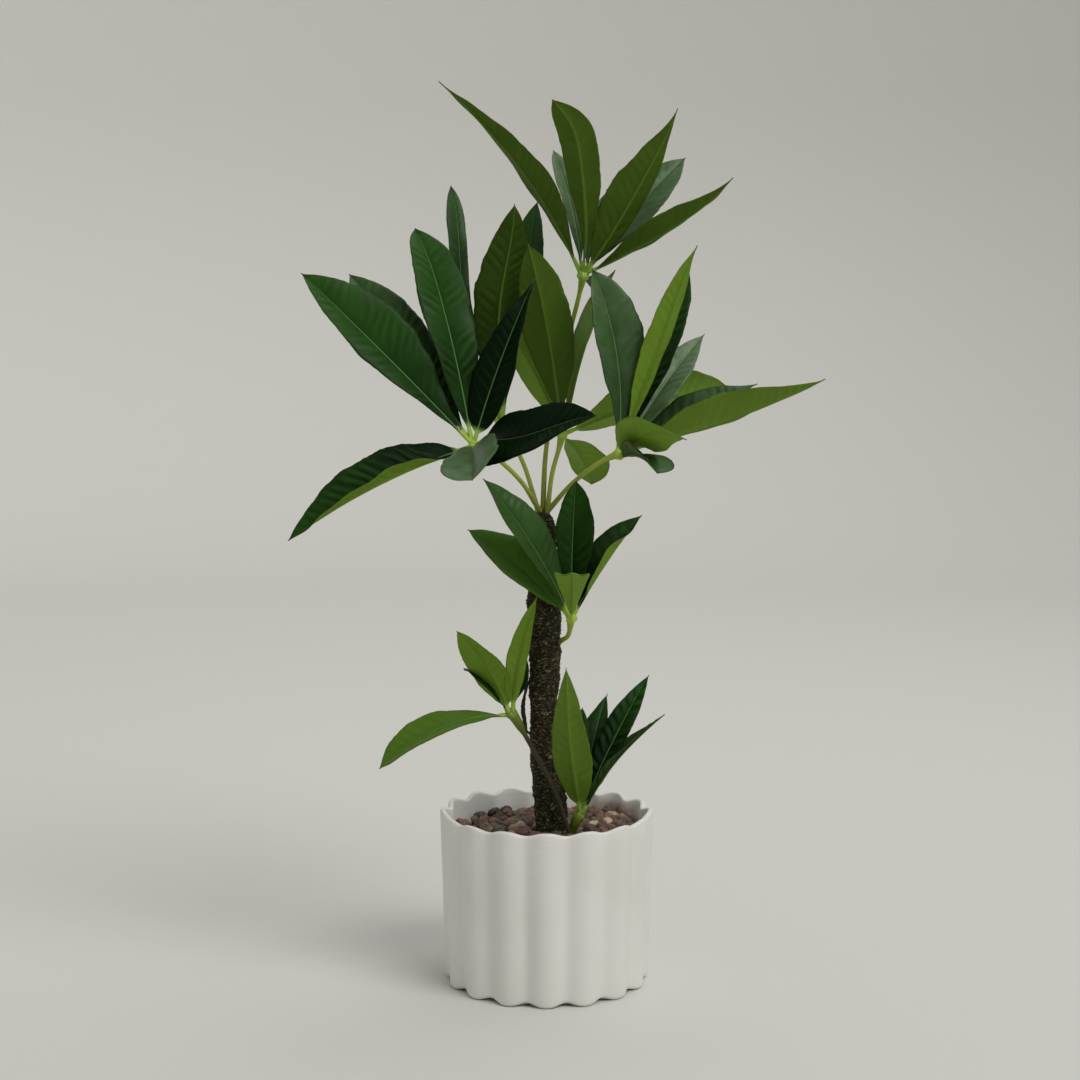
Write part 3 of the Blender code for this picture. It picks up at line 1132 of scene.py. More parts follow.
@dataclass
class Filling:
    """The soil and the loose pebbles on it, round the trunk."""

    pot: FlutedPot
    trunk_middle: tuple[float, float] = (2.6 * MM, -3 * MM)
    trunk_radius: float = 9.6 * MM
    top: float = 88 * MM
    bed: float = 82.5 * MM
    base: float = 5.6 * MM
    clearance: float = 0.6 * MM
    lump: float = 0.9 * MM
    crumb: float = 0.7 * MM
    small: float = 6.0 * MM
    large: float = 10.6 * MM
    spacing: float = 7.1 * MM
    cover: float = 0.93
    closeness: float = 0.93
    shoves: int = 80
    shapes: int = 7
    tilt: float = 0.35
    seed: int = 11

    def inner(self, height: float) -> float:
        """Return the radius that clears the pot's inner wall."""
        pot = self.pot
        return pot.radius_at(height) - pot.flute_depth - pot.wall - self.clearance

    def build_soil(self, finish: bpy.types.Material) -> bpy.types.Object:
        """Build the bed of soil, crumbly on top, that closes round the trunk.

        Args:
            finish: the soil's finish.
        Returns:
            The soil.
        """
        wall_rows, top_rows, columns = 6, 60, 180
        deep = self.bed - self.base
        reach = self.inner(self.bed)
        heights = [self.base + deep * row / wall_rows for row in range(wall_rows + 1)]
        outline = [(0.0, self.base)] + [(self.inner(height), height) for height in heights]
        outline += [(reach * (1 - row / top_rows), self.bed) for row in range(1, top_rows + 1)]
        turns = np.linspace(0, tau, columns + 1)
        points = np.array([
            [(radius * cos(turn), radius * sin(turn), height) for turn in turns]
            for radius, height in outline
        ])
        for row in points[wall_rows + 2:-1]:
            for point in row[:-1]:
                where = Vector(point) * 420
                point[2] += self.lump * noise.noise(where) + self.crumb * noise.noise(where * 2.6)
            row[-1] = row[0]
        soil = lay_sheet("soil_bed", points)
        soil.data.materials.append(finish)
        return settle(soil, "soil")

    def places(self) -> tuple[np.ndarray, np.ndarray]:
        """Scatter stones over the bed, then push them apart until they lie side by side.

        Returns:
            The stones' middles in plan, and their radii.
        """
        draw = np.random.default_rng(self.seed)
        reach = self.inner(self.top)
        count = int(pi * reach * reach / (self.spacing * self.spacing) * self.cover)
        turn = draw.uniform(0, tau, count)
        out = reach * np.sqrt(draw.uniform(0.03, 1.0, count))
        spots = np.stack([out * np.cos(turn), out * np.sin(turn)], axis=1)
        radii = draw.uniform(self.small, self.large, count) / 2
        # Worn stones may lie closer than their radii, to each other, the trunk and the wall.
        for _ in range(self.shoves):
            gap = spots[:, None] - spots[None]
            away = np.linalg.norm(gap, axis=2) + np.eye(count)
            want = (radii[:, None] + radii[None]) * self.closeness
            push = np.clip(want - away, 0, None) * (1 - np.eye(count))
            spots = spots + (gap / away[..., None] * push[..., None] * 0.35).sum(axis=1)
            stem = spots - self.trunk_middle
            near = np.linalg.norm(stem, axis=1, keepdims=True)
            keep = self.trunk_radius + radii[:, None] * 0.7
            spots = np.where(near < keep, self.trunk_middle + stem / near * keep, spots)
            far = np.linalg.norm(spots, axis=1, keepdims=True)
            most = reach - radii[:, None] * 0.75
            spots = np.where(far > most, spots / far * most, spots)
        return spots, radii

    def stones(self, draw: np.random.Generator) -> list[bpy.types.Mesh]:
        """Model a few stones: balls of one size, flattened and worn unevenly.

        Args:
            draw: the random numbers to draw from.
        Returns:
            The stones' meshes.
        """
        shapes = []
        for number in range(self.shapes):
            bpy.ops.object.select_all(action="DESELECT")
            bpy.ops.mesh.primitive_ico_sphere_add(subdivisions=3, radius=1)
            stone = bpy.context.object
            flat = draw.uniform(0.62, 0.9)
            bpy.ops.transform.resize(value=(1.0, draw.uniform(0.72, 0.95), flat))
            bpy.ops.object.transform_apply(location=False, rotation=False, scale=True)
            shift = Vector((number * 7.3, 0, 0))
            for vertex in stone.data.vertices:
                worn = 0.34 * noise.noise(vertex.co * 1.3 + shift)
                chip = 0.2 * noise.noise(vertex.co * 2.9 - shift)
                vertex.co *= 1 + worn + chip
            shapes.append(stone.data)
            bpy.data.objects.remove(stone)
        return shapes

    def build_pebbles(self, finish: bpy.types.Material) -> bpy.types.Object:
        """Lay the pebbles at slightly different heights and join them into one piece.

        Args:
            finish: the stones' finish.
        Returns:
            The pebbles.
        """
        draw = np.random.default_rng(self.seed + 1)
        shapes = self.stones(draw)
        tints = [colour for colour, often in (tint.value for tint in PebbleTint)
                 for _ in range(often)]
        spots, radii = self.places()
        copies = []
        for (x, y), radius in zip(spots, radii):
            mesh = shapes[draw.integers(len(shapes))].copy()
            tilt = Matrix.Rotation(draw.normal(0, self.tilt), 4, "X")
            tilt = tilt @ Matrix.Rotation(draw.normal(0, self.tilt), 4, "Y")
            spin = Matrix.Rotation(draw.uniform(0, tau), 4, "Z")
            height = self.top - radius * 0.85 + draw.uniform(-2.2, 0.5) * MM
            mesh.transform(Matrix.Translation((x, y, height)) @ tilt @ spin
                           @ Matrix.Scale(radius * 1.05, 4))
            tint = linear(tints[draw.integers(len(tints))])
            shade = draw.uniform(0.3, 1.1)
            own = np.tile([channel * shade for channel in tint[:3]], (len(mesh.vertices), 1))
            set_fact(mesh, "stone", own)
            mesh.materials.append(finish)
            piece = bpy.data.objects.new("stone", mesh)
            bpy.context.collection.objects.link(piece)
            copies.append(piece)
        bpy.ops.object.select_all(action="DESELECT")
        for piece in copies:
            piece.select_set(True)
        bpy.context.view_layer.objects.active = copies[0]
        bpy.ops.object.join()
        pebbles = bpy.context.object
        pebbles.name = "pebbles"
        for shape in shapes:
            bpy.data.meshes.remove(shape)
        return settle(pebbles, "pebble_layer")


@dataclass(frozen=True)
class Knot:
    """A small stub on the trunk, at a turn in degrees from the right and a height."""

    turn: float
    height: float
    size: float


@dataclass
class Trunk:
    """The trunk with its wrinkled bark and the dry tendril that curls off it.

    The bark's fibres really lie closer, and are drawn a fibre_gap apart so that they show.
    """

    sides: int = 150
    rows: int = 560
    radius: float = 9 * MM
    crown: float = 9 * MM
    lump: float = 0.75 * MM
    crumb: float = 0.4 * MM
    fibre: float = 0.75 * MM
    fibre_gap: float = 1.75 * MM
    swell: float = 1.0 * MM
    inset: float = 0.15 * MM
    tendril_reach: float = 4 * MM
    tendril_radius: float = 1.0 * MM
    tendril_wander: float = 0.4 * MM
    tendril_strand: float = 0.28 * MM
    tendril_rows: int = 60
    tendril_sides: int = 16
    knots: tuple[Knot, ...] = (
        Knot(178, 246 * MM, 2.4 * MM), Knot(186, 212 * MM, 2.2 * MM),
        Knot(20, 258 * MM, 2.0 * MM), Knot(355, 190 * MM, 1.2 * MM),
        Knot(250, 231 * MM, 1.1 * MM), Knot(120, 150 * MM, 1.8 * MM),
        Knot(95, 222 * MM, 2.0 * MM), Knot(40, 120 * MM, 1.5 * MM),
    )

    def solid_rings(self) -> tuple[np.ndarray, np.ndarray]:
        """Read the solid's rings.

        Returns:
            Their middles and their radii, from the foot up.
        """
        solid = SolidReader("trunk")
        low = solid.points[:, 2].min()
        layers = solid.steps_from([int(i) for i in np.flatnonzero(solid.points[:, 2] < low + MM)])
        middles = np.array([solid.points[layer].mean(axis=0) for layer in layers])
        radii = np.array([
            np.linalg.norm(solid.points[layer] - middle, axis=1).mean()
            for layer, middle in zip(layers, middles)
        ])
        return middles, radii

    def relief(self, tube: Tube) -> tuple[np.ndarray, np.ndarray]:
        """Work out the bark's relief.

        Args:
            tube: the plain trunk.
        Returns:
            How far each point stands out, and the bark's painted light, from 0 for painted shade in
            a pit to 1 for a painted highlight on a ridge.
        """
        plain = tube.surface()
        height, bulge, bark_painted_light = np.zeros((3, *plain.shape[:2]))
        # The noise is read at places in millimetres, and elsewhere for the torn patches.
        apart = Vector((31.0, 0.0, 7.0))
        for row, line in enumerate(plain[:, :-1]):
            for column, point in enumerate(line):
                spot = Vector(point) * 1000
                lump = noise.noise(spot * 0.3)
                crumb = noise.noise(spot * 1.1)
                drift = 8 * noise.noise(spot * 0.27) + 4 * noise.noise(spot * 0.65)
                wave = 0.5 + 0.5 * sin(spot.z * MM * tau / self.fibre_gap + drift)
                torn = min(1.0, max(0.25, 0.65 + 1.1 * noise.noise(spot * 0.45 + apart)))
                ridge = wave ** 1.7 * torn
                height[row, column] = lump * self.lump + crumb * self.crumb + ridge * self.fibre
                # Painted shade in the pits and a painted highlight on the fibres' crests, for the
                # bark's colour ramp.
                bark_painted_light[row, column] = 0.08 + 0.85 * ridge + 0.2 * crumb
                bulge[row, column] = noise.noise(spot * 0.075) * self.swell
        turn = tube.angles()[None, :]
        level = plain[:, :, 2]
        for knot in self.knots:
            around = np.abs((turn - radians(knot.turn) + pi) % tau - pi) * self.radius
            away = np.hypot(around, level - knot.height)
            bulge += knot.size * np.exp(-(away / (knot.size * 0.75)) ** 2)
        for values in (height, bulge, bark_painted_light):
            values[:, -1] = values[:, 0]
        return height + bulge, np.clip(bark_painted_light, 0, 1)

    def build(self, bark: bpy.types.Material) -> bpy.types.Object:
        """Build the trunk.

        Args:
            bark: the finish.
        Returns:
            The trunk.
        """
        middles, radii = self.solid_rings()
        along = lengths_along(middles)
        where = np.linspace(0, along[-1], self.rows)
        route = through(along, middles, where)
        girth = through(along, radii, where)
        crown = np.sqrt(np.clip((along[-1] - where) / self.crown, 0, 1))
        girth = (girth - self.inset) * crown
        girth[[0, -1]] = 0.0
        tube = Tube(route, girth, self.sides)
        relief, bark_painted_light = self.relief(tube)
        relief *= (girth > 0)[:, None] * crown[:, None]
        # The rounded top gets less painted highlight, so it is darker.
        bark_painted_light *= (0.35 + 0.65 * ease(crown, 0.3, 1.0))[:, None]
        trunk = lay_sheet("trunk_bark", tube.surface(relief), {"relief": bark_painted_light})
        trunk.data.materials.append(bark)
        return settle(trunk, "trunk")

    def build_tendril(self, bark: bpy.types.Material) -> bpy.types.Object:
        """Build the dry tendril that hangs from the trunk's side.

        Args:
            bark: the finish.
        Returns:
            The tendril.
        """
        solid = SolidReader("tendril")
        high = solid.points[:, 2].max()
        line = solid.tube_line(
            [int(i) for i in np.argsort(-solid.points[:, 2])[:8] if solid.points[i, 2] > high - MM]
        )
        middles, _ = self.solid_rings()
        # Both ends run on into the trunk.
        ends = []
        for end in (line[0], line[-1]):
            inward = middles[np.argmin(np.abs(middles[:, 2] - end[2]))] - end
            inward[2] = 0.0
            past = MM * 2.5 * np.sign(end[2] - line[:, 2].mean())
            ends.append(end + unit(inward) * self.tendril_reach + (0, 0, past))
        line = np.concatenate([ends[:1], line, ends[1:]])
        along = lengths_along(line)
        where = np.linspace(0, along[-1], self.tendril_rows)
        route = through(along, line, where)
        closing = np.sqrt(np.clip(np.minimum(where, along[-1] - where) / MM, 0, 1))
        wander = np.array([
            [noise.noise(Vector((far * 900, axis * 9.1, 0))) for axis in range(3)]
            for far in where
        ])
        tube = Tube(route + wander * self.tendril_wander, self.tendril_radius * closing,
                    self.tendril_sides)
        strands = np.cos(2 * tube.angles()[None] + where[:, None] * 300)
        relief = self.tendril_strand * strands * closing[:, None]
        dull = np.full(relief.shape, 0.3)
        tendril = lay_sheet("dry_tendril", tube.surface(relief), {"relief": dull})
        tendril.data.materials.append(bark)
        return settle(tendril, "tendril")


class Tone(Enum):
    """How a leaf looks: its lightness, how yellow it is, and how much painted grey sheen it
    carries.
    The lightness is partly the leaf's own green and partly painted light and shade for the light
    that reaches it.
    """

    # Painted shade: darker than the darkest green, for leaves in deep shade.
    BLACK_GREEN = (-0.3, 0.0, 0.0)
    DEEP = (0.1, 0.0, 0.02)
    LUSH = (0.3, 0.0, 0.0)
    FULL = (0.38, 0.0, 0.04)
    SATIN = (0.5, 0.05, 0.16)
    WARM = (0.45, 0.65, 0.0)
    # Painted light: for a leaf shaded by the ones above it.
    BRIGHT = (1.4, 0.3, 0.08)
    OLIVE = (0.7, 0.1, 0.0)
    PALE_OLIVE = (1.05, 0.45, 0.05)
    SAGE = (0.9, 0.3, 0.35)
    YOUNG = (1.1, 0.75, 0.0)
    # Painted light: pale yellow for leaves lit from behind, beyond what the translucency gives.
    PALE_YOUNG = (1.4, 1.0, 0.1)
    DUSKY = (0.2, 0.0, 0.15)
    # These carry much painted grey sheen.
    DIM_WAXY = (0.45, 0.0, 0.38)
    WAXY = (0.5, 0.0, 0.55)
    CHALKY = (0.7, 0.0, 0.8)


@dataclass(frozen=True)
class Habit:
    """How one leaf differs from the rest.

    A swell or a taper over 1 draws the foot or the tip in, and one under 1 fills it out. Each
    side has its own width, and is folded up about the midrib by an angle in degrees, as far
    along as fold_end. The hook bends the tip to the right from hook_start on, the bow pushes
    its middle to the right, the curl lifts the tip, the stretch lengthens it, and the horn
    drags a blunt end out to three points. The wave is how far the edges rise and fall, and the
    ripple deepens the pillows between the side veins. An underside of its own tone shows where
    a side is folded.
    """

    tone: Tone
    under: Tone | None = None
    swell: float = 1.25
    taper: float = 0.9
    widen: float = 1.0
    left: float = 1.0
    right: float = 1.0
    wave: float = 0.6 * MM
    ripple: float = 0.85
    hook: float = 0.0
    hook_start: float = 0.7
    bow: float = 0.0
    curl: float = 0.0
    stretch: float = 0.0
    horn: float = 0.0
    left_fold: float = 6.0
    right_fold: float = 6.0
    fold_end: float = 1.4


HABITS = {
    "crown_leaf_1": Habit(Tone.OLIVE, taper=1.8, widen=1.12, hook=-1.5 * MM),
    "crown_leaf_2": Habit(Tone.OLIVE, swell=1.3, taper=0.6, widen=0.78, left_fold=0,
                          right_fold=0, hook=5.5 * MM, bow=2.5 * MM),
    "crown_leaf_3": Habit(Tone.WAXY, taper=0.8, widen=0.7),
    "crown_leaf_4": Habit(Tone.OLIVE, swell=1.1, taper=1.5, left=0.7, right=1.15, left_fold=0,
                          right_fold=0, hook=-1 * MM, hook_start=0.45, bow=1.5 * MM),
    "crown_leaf_5": Habit(Tone.DIM_WAXY, taper=1.1, widen=1.25, wave=0.8 * MM, ripple=1.3),
    "crown_leaf_6": Habit(Tone.OLIVE, taper=1.45, hook=4 * MM),
    "crown_leaf_7": Habit(Tone.WAXY),
    "crown_leaf_8": Habit(Tone.DUSKY, widen=0.75, wave=0.2 * MM),
    "left_leaf_1": Habit(Tone.FULL, swell=1.35, taper=1.0, left=0.75, right=1.2, ripple=1.2,
                         wave=0.9 * MM),
    "left_leaf_2": Habit(Tone.DUSKY, widen=1.1, ripple=2.0),
    "left_leaf_3": Habit(Tone.FULL, swell=0.85, taper=0.6, hook=-2 * MM, ripple=1.9,
                         wave=0.9 * MM),
    "left_leaf_4": Habit(Tone.BLACK_GREEN, swell=0.6, taper=1.25, widen=0.88, wave=1.5 * MM),
    "left_leaf_5": Habit(Tone.BLACK_GREEN, swell=0.8, taper=0.95, widen=1.3, left=0.8,
                         right=1.4, ripple=1.2, bow=8 * MM),
    "left_leaf_6": Habit(Tone.WAXY, swell=0.8, taper=0.15, widen=0.92, left=1.3, left_fold=38,
                         right_fold=-12, wave=0.8 * MM, horn=-1 * MM),
    "left_leaf_7": Habit(Tone.DEEP, under=Tone.YOUNG, swell=0.65, widen=0.95, left=0.62,
                         right=1.2, left_fold=52, fold_end=0.78, ripple=1.8, wave=0.9 * MM),
    "rear_leaf_1": Habit(Tone.OLIVE, left_fold=0, right_fold=0),
    "rear_leaf_2": Habit(Tone.PALE_YOUNG),
    "rear_leaf_3": Habit(Tone.SAGE, widen=0.85, left_fold=25),
    "rear_leaf_4": Habit(Tone.PALE_YOUNG, swell=0.9, taper=0.8, widen=1.3),
    "rear_leaf_5": Habit(Tone.PALE_YOUNG, taper=0.6),
    "rear_left_leaf_1": Habit(Tone.DUSKY, swell=1.6, taper=0.55, widen=0.52, left=1.4,
                              right=0.8, bow=-9 * MM),
    "rear_left_leaf_2": Habit(Tone.LUSH, left_fold=0, ripple=1.8, bow=6 * MM),
    "rear_left_leaf_3": Habit(Tone.DEEP, hook=-4 * MM, hook_start=0.4),
    "rear_left_leaf_4": Habit(Tone.DEEP),
    "right_leaf_1": Habit(Tone.DIM_WAXY, right=1.12, left_fold=14),
    "right_leaf_2": Habit(Tone.YOUNG, swell=1.4, taper=1.3, widen=0.75, bow=-3 * MM),
    "right_leaf_3": Habit(Tone.DEEP, left=0.35, right=0.95, ripple=1.5, bow=2 * MM,
                          stretch=9 * MM),
    "right_leaf_4": Habit(Tone.CHALKY, swell=1.1, taper=1.2),
    "right_leaf_5": Habit(Tone.PALE_OLIVE, swell=1.15, taper=1.5, widen=1.1, hook=4 * MM,
                          hook_start=0.8, bow=-5 * MM),
    "right_leaf_6": Habit(Tone.DUSKY, taper=1.3, widen=1.3, ripple=1.4),
    "right_leaf_7": Habit(Tone.PALE_YOUNG, swell=0.9, taper=1.3, widen=0.95, left_fold=-54,
                          right_fold=10, wave=0.8 * MM, hook=-6 * MM, hook_start=0.45,
                          stretch=-2 * MM),
    "right_leaf_8": Habit(Tone.SATIN, swell=1.0, taper=0.6, widen=1.6, hook=-4 * MM,
                          hook_start=0.3, stretch=-11 * MM),
    "middle_leaf_1": Habit(Tone.SATIN, taper=1.1, widen=1.2),
    "middle_leaf_2": Habit(Tone.BRIGHT, taper=1.1, widen=1.3),
    "middle_leaf_3": Habit(Tone.LUSH, left=0.85, right=1.2),
    "middle_leaf_4": Habit(Tone.DEEP, under=Tone.YOUNG, taper=1.2, right=0.68, right_fold=50,
                           fold_end=0.72, bow=1.5 * MM),
    "middle_leaf_5": Habit(Tone.PALE_YOUNG, swell=0.7, taper=0.05, wave=1.0 * MM, horn=5 * MM,
                           curl=2 * MM, stretch=-3 * MM, left_fold=-8, right_fold=-8),
    "low_left_leaf_1": Habit(Tone.WARM, widen=1.08, ripple=0.7),
    "low_left_leaf_2": Habit(Tone.YOUNG, swell=0.75, taper=1.05, widen=1.35, left=0.65,
                             left_fold=-5, right_fold=-5),
    "low_left_leaf_3": Habit(Tone.YOUNG, swell=0.6, taper=1.1, widen=1.1, left=0.6,
                             right=0.8, left_fold=-5, right_fold=-5),
    "low_left_leaf_4": Habit(Tone.LUSH, wave=0.7 * MM, widen=1.6),
    "low_left_leaf_5": Habit(Tone.DEEP, widen=0.75, bow=5 * MM),
    "low_right_leaf_1": Habit(Tone.PALE_OLIVE, swell=0.6, taper=1.05, widen=0.86, left_fold=-5,
                              right_fold=-5, bow=1 * MM),
    "low_right_leaf_2": Habit(Tone.DEEP, widen=0.55, stretch=-11 * MM),
    "low_right_leaf_3": Habit(Tone.DEEP, swell=1.0, taper=1.0, widen=0.75, ripple=2.6),
    "low_right_leaf_4": Habit(Tone.DEEP, taper=1.3),
    "low_right_leaf_5": Habit(Tone.DEEP, swell=1.0, taper=1.2, widen=1.2, ripple=1.8,
                              hook=-4 * MM),
}


@dataclass(frozen=True)
class LeafLuck:
    """What chance gives one leaf."""

    place: float
    phases: np.ndarray
    waves: np.ndarray
    vein_start: float

    @classmethod
    def draw(cls, seed: int) -> "LeafLuck":
        """Draw one leaf's luck.

        Args:
            seed: starts the random numbers.
        Returns:
            Where it reads its noise, where its edges' waves start, how long they are, and how
            far its first side vein is from the foot.
        """
        numbers = np.random.default_rng(seed)
        return cls(
            place=numbers.uniform(0, 50), phases=numbers.uniform(0, tau, 4),
            waves=numbers.uniform(45, 80, 2) * MM, vein_start=numbers.uniform(0, 1),
        )


@dataclass(frozen=True)
class BladeShape:
    """Sizes that every leaf shares: how it is divided, its thickness, midrib and veins."""

    columns: int = 24
    rows: int = 116
    thickness: float = 0.34 * MM
    rib_drop: float = 0.85 * MM
    rib_width: float = 0.9 * MM
    rib_crowding: float = 1.45
    groove: float = 0.3 * MM
    groove_width: float = 0.7 * MM
    stalk_radius: float = 1.35 * MM
    stalk_width: float = 2.4 * MM
    least_width: float = 0.3 * MM
    stalk_end: float = 0.06
    tip_point: float = 0.022
    hub_gap: float = 4.6 * MM
    vein_gap: float = 6.2 * MM
    vein_lean: float = 0.75
    pillow: float = 0.42 * MM

    def on_stalk(self, share: np.ndarray) -> np.ndarray:
        """Return 1 on the leaf's own stalk and 0 on its blade, by the share of its length."""
        return ease(share, self.stalk_end + 0.05, self.stalk_end - 0.01)

    def across(self) -> np.ndarray:
        """Return each column's place from -1 to 1, with the columns crowded at the midrib."""
        even = np.linspace(-1, 1, self.columns + 1)
        return np.sign(even) * np.abs(even) ** self.rib_crowding


@dataclass
class LeafMaker:
    """Shapes every leaf from one blank blade."""

    shape: BladeShape
    upper: bpy.types.Material
    under: bpy.types.Material
    blank: bpy.types.Object | None = None

    def make_blank(self) -> None:
        """Model the blank: a flat grid given a thickness, its two faces with their finish."""
        shape = self.shape
        bpy.ops.object.select_all(action="DESELECT")
        bpy.ops.mesh.primitive_grid_add(
            x_subdivisions=shape.columns, y_subdivisions=shape.rows, size=2
        )
        self.blank = bpy.context.object
        self.blank.name = "blank_blade"
        wall = self.blank.modifiers.new("thickness", "SOLIDIFY")
        wall.thickness = 1.0
        wall.offset = 0.0
        bpy.ops.object.modifier_apply(modifier=wall.name)
        self.blank.data.materials.append(self.upper)
        self.blank.data.materials.append(self.under)
        for face in self.blank.data.polygons:
            face.material_index = 0 if face.normal.z > 0.5 else 1

    def drop_blank(self) -> None:
        """Remove the blank once every leaf is made."""
        bpy.data.objects.remove(self.blank)

    def read_lines(self, node: str) -> np.ndarray:
        """Read five lines along a leaf's solid.

        Args:
            node: the leaf's solid.
        Returns:
            From foot to tip, the left edge, left quarter, midrib, right quarter and right
            edge, seen from above the upper face with the tip ahead.
        """
        solid = SolidReader(node)
        first, last = solid.farthest_pair()
        layers = solid.steps_from([first])
        foot_gap = np.linalg.norm(solid.points[layers[1]].mean(axis=0) - solid.points[first])
        tip_gap = np.linalg.norm(solid.points[layers[-2]].mean(axis=0) - solid.points[last])
        if foot_gap > tip_gap:
            layers = layers[::-1]
        rows = [np.repeat(solid.points[layers[0]], 5, axis=0)]
        side = None
        for layer in layers[1:-1]:
            ring = solid.points[solid.round_order(layer)]
            spans = [np.linalg.norm(ring[i] - ring[i + 4]) for i in range(4)]
            turned = np.roll(ring, -int(np.argmax(spans)), axis=0)
            if side is not None and (turned[4] - turned[0]).dot(side) < 0:
                turned = np.roll(turned, 4, axis=0)
            side = turned[4] - turned[0]
            rows.append(np.array([
                turned[0], (turned[1] + turned[7]) / 2, (turned[2] + turned[6]) / 2,
                (turned[3] + turned[5]) / 2, turned[4],
            ]))
        rows.append(np.repeat(solid.points[layers[-1]], 5, axis=0))
        lines = np.array(rows)
        lift = ((lines[:, 0] + lines[:, 4]) / 2 - lines[:, 2]).sum(axis=0)
        ahead = lines[-1, 2] - lines[0, 2]
        if np.cross(lines[5, 4] - lines[5, 0], ahead).dot(lift) < 0:
            lines = lines[:, ::-1]
        return lines

    def spine(
        self, lines: np.ndarray, habit: Habit
    ) -> tuple[np.ndarray, np.ndarray, np.ndarray]:
        """Draw a leaf's lines back to the hub, read them at every row, and stretch them.

        Args:
            lines: what read_lines returns.
            habit: how this leaf differs.
        Returns:
            How far along each row is, its point on the midrib, and the five lines' offsets
            from it.
        """
        shape = self.shape
        middle = lines[:, 2]
        start = middle[0] - unit(middle[1] - middle[0]) * shape.hub_gap * 0.8
        middle = np.concatenate([[start], middle])
        offsets = lines - lines[:, 2:3]
        offsets[-1] = offsets[-2] * 0.2
        offsets = np.concatenate([offsets[1:2], offsets[1:2], offsets[1:]])
        far = lengths_along(middle)
        where = np.linspace(0, far[-1], shape.rows + 1)
        rib = through(far, middle, where)
        lengthened = habit.stretch * (where / far[-1]) ** 2
        rib += unit(middle[-1] - middle[0]) * lengthened[:, None]
        return where, rib, through(far, offsets, where)

    def widen(
        self, where: np.ndarray, spread: np.ndarray, habit: Habit, luck: LeafLuck
    ) -> np.ndarray:
        """Give the blade its outline: the solid sets how wide, and the habit sets the shape.

        Args:
            where: how far along each row is.
            spread: for each, the five lines' offsets from the midrib.
            habit: how this leaf differs.
            luck: what chance gives it.
        Returns:
            The offsets, scaled.
        """
        shape = self.shape
        share = where / where[-1]
        blade = np.clip((share - shape.stalk_end) / (1 - shape.stalk_end), 0, 1)
        peak = habit.swell / (habit.swell + habit.taper)
        outline = (blade / peak) ** habit.swell * ((1 - blade) / (1 - peak)) ** habit.taper
        outline *= 1 - np.exp(-(1 - blade) / shape.tip_point)
        on_stalk = shape.on_stalk(share)
        width = np.linalg.norm(spread[:, 4] - spread[:, 0], axis=1)
        least = shape.stalk_width * on_stalk + shape.least_width * (1 - on_stalk)
        target = np.maximum(width.max() * habit.widen * outline, least)
        spread = spread * (target / width)[:, None, None]
        # Each side has its own width and wavers a little; the last number parts their noise.
        for side, width_of, apart in (
            (slice(0, 2), habit.left, 3.7), (slice(3, 5), habit.right, 8.2),
        ):
            waver = np.array([
                0.08 * noise.noise(Vector((far * 95, luck.place, apart)))
                + 0.03 * noise.noise(Vector((far * 420, luck.place, apart))) for far in where
            ])
            spread[:, side] *= (width_of * (1 + waver))[:, None, None]
        return spread

    @staticmethod
    def turn_sides(
        rib: np.ndarray, spread: np.ndarray, habit: Habit, share: np.ndarray
    ) -> np.ndarray:
        """Fold each side of the blade up about its midrib.

        Args:
            rib: the midrib's points.
            spread: for each, the five lines' offsets from it.
            habit: the leaf's folds.
            share: how far along each point is, from 0 to 1.
        Returns:
            The offsets, turned.
        """
        folded = ease(share, 0.08, 0.3) * ease(share, habit.fold_end + 0.15, habit.fold_end - 0.15)
        ahead = unit(np.gradient(rib, axis=0))
        turned = spread.copy()
        for line, angle in (
            (0, habit.left_fold), (1, habit.left_fold),
            (3, -habit.right_fold), (4, -habit.right_fold),
        ):
            turn = (radians(angle) * folded)[:, None]
            arm = spread[:, line]
            along = ahead * (arm * ahead).sum(axis=1, keepdims=True)
            turned[:, line] = (
                along + (arm - along) * np.cos(turn) + np.cross(ahead, arm) * np.sin(turn)
            )
        return turned

    def stretch_over(
        self, rib: np.ndarray, spread: np.ndarray, habit: Habit, share: np.ndarray
    ) -> tuple[np.ndarray, np.ndarray, np.ndarray]:
        """Stretch a surface over the five lines, then hook, bow, curl and drag it.

        Args:
            rib: the midrib's points.
            spread: for each, the five lines' offsets from it.
            habit: how this leaf differs.
            share: how far along each point is, from 0 to 1.
        Returns:
            Rows by columns of points, the way each one faces, and how far it is from the
            midrib, which is negative on the left.
        """
        across = self.shape.across()
        out = np.abs(across)[None, :, None]
        on_left = across[None, :, None] < 0
        quarter = np.where(on_left, spread[:, 1:2], spread[:, 3:4])
        edge = np.where(on_left, spread[:, 0:1], spread[:, 4:5])
        mid = rib[:, None] + quarter * 4 * out * (1 - out) + edge * out * (2 * out - 1)
        aside = np.linalg.norm(edge, axis=2) * across[None, :]
        normal = unit(np.cross(np.gradient(mid, axis=1), np.gradient(mid, axis=0)))
        sideways = unit(spread[:, 4] - spread[:, 0])
        bend = habit.hook * 1.6 * ease(share, habit.hook_start, 1.1) ** 1.5
        bend += habit.bow * np.sin(pi * share) ** 2
        mid = mid + (sideways * bend[:, None])[:, None]
        ahead = unit(np.gradient(rib, axis=0))[:, None]
        drag = habit.horn * ease(share, 0.75, 1.0)[:, None] * np.cos(tau * aside / aside.max())
        mid = mid + ahead * drag[..., None] + normal * habit.curl * share[:, None, None] ** 3
        return mid, normal, aside

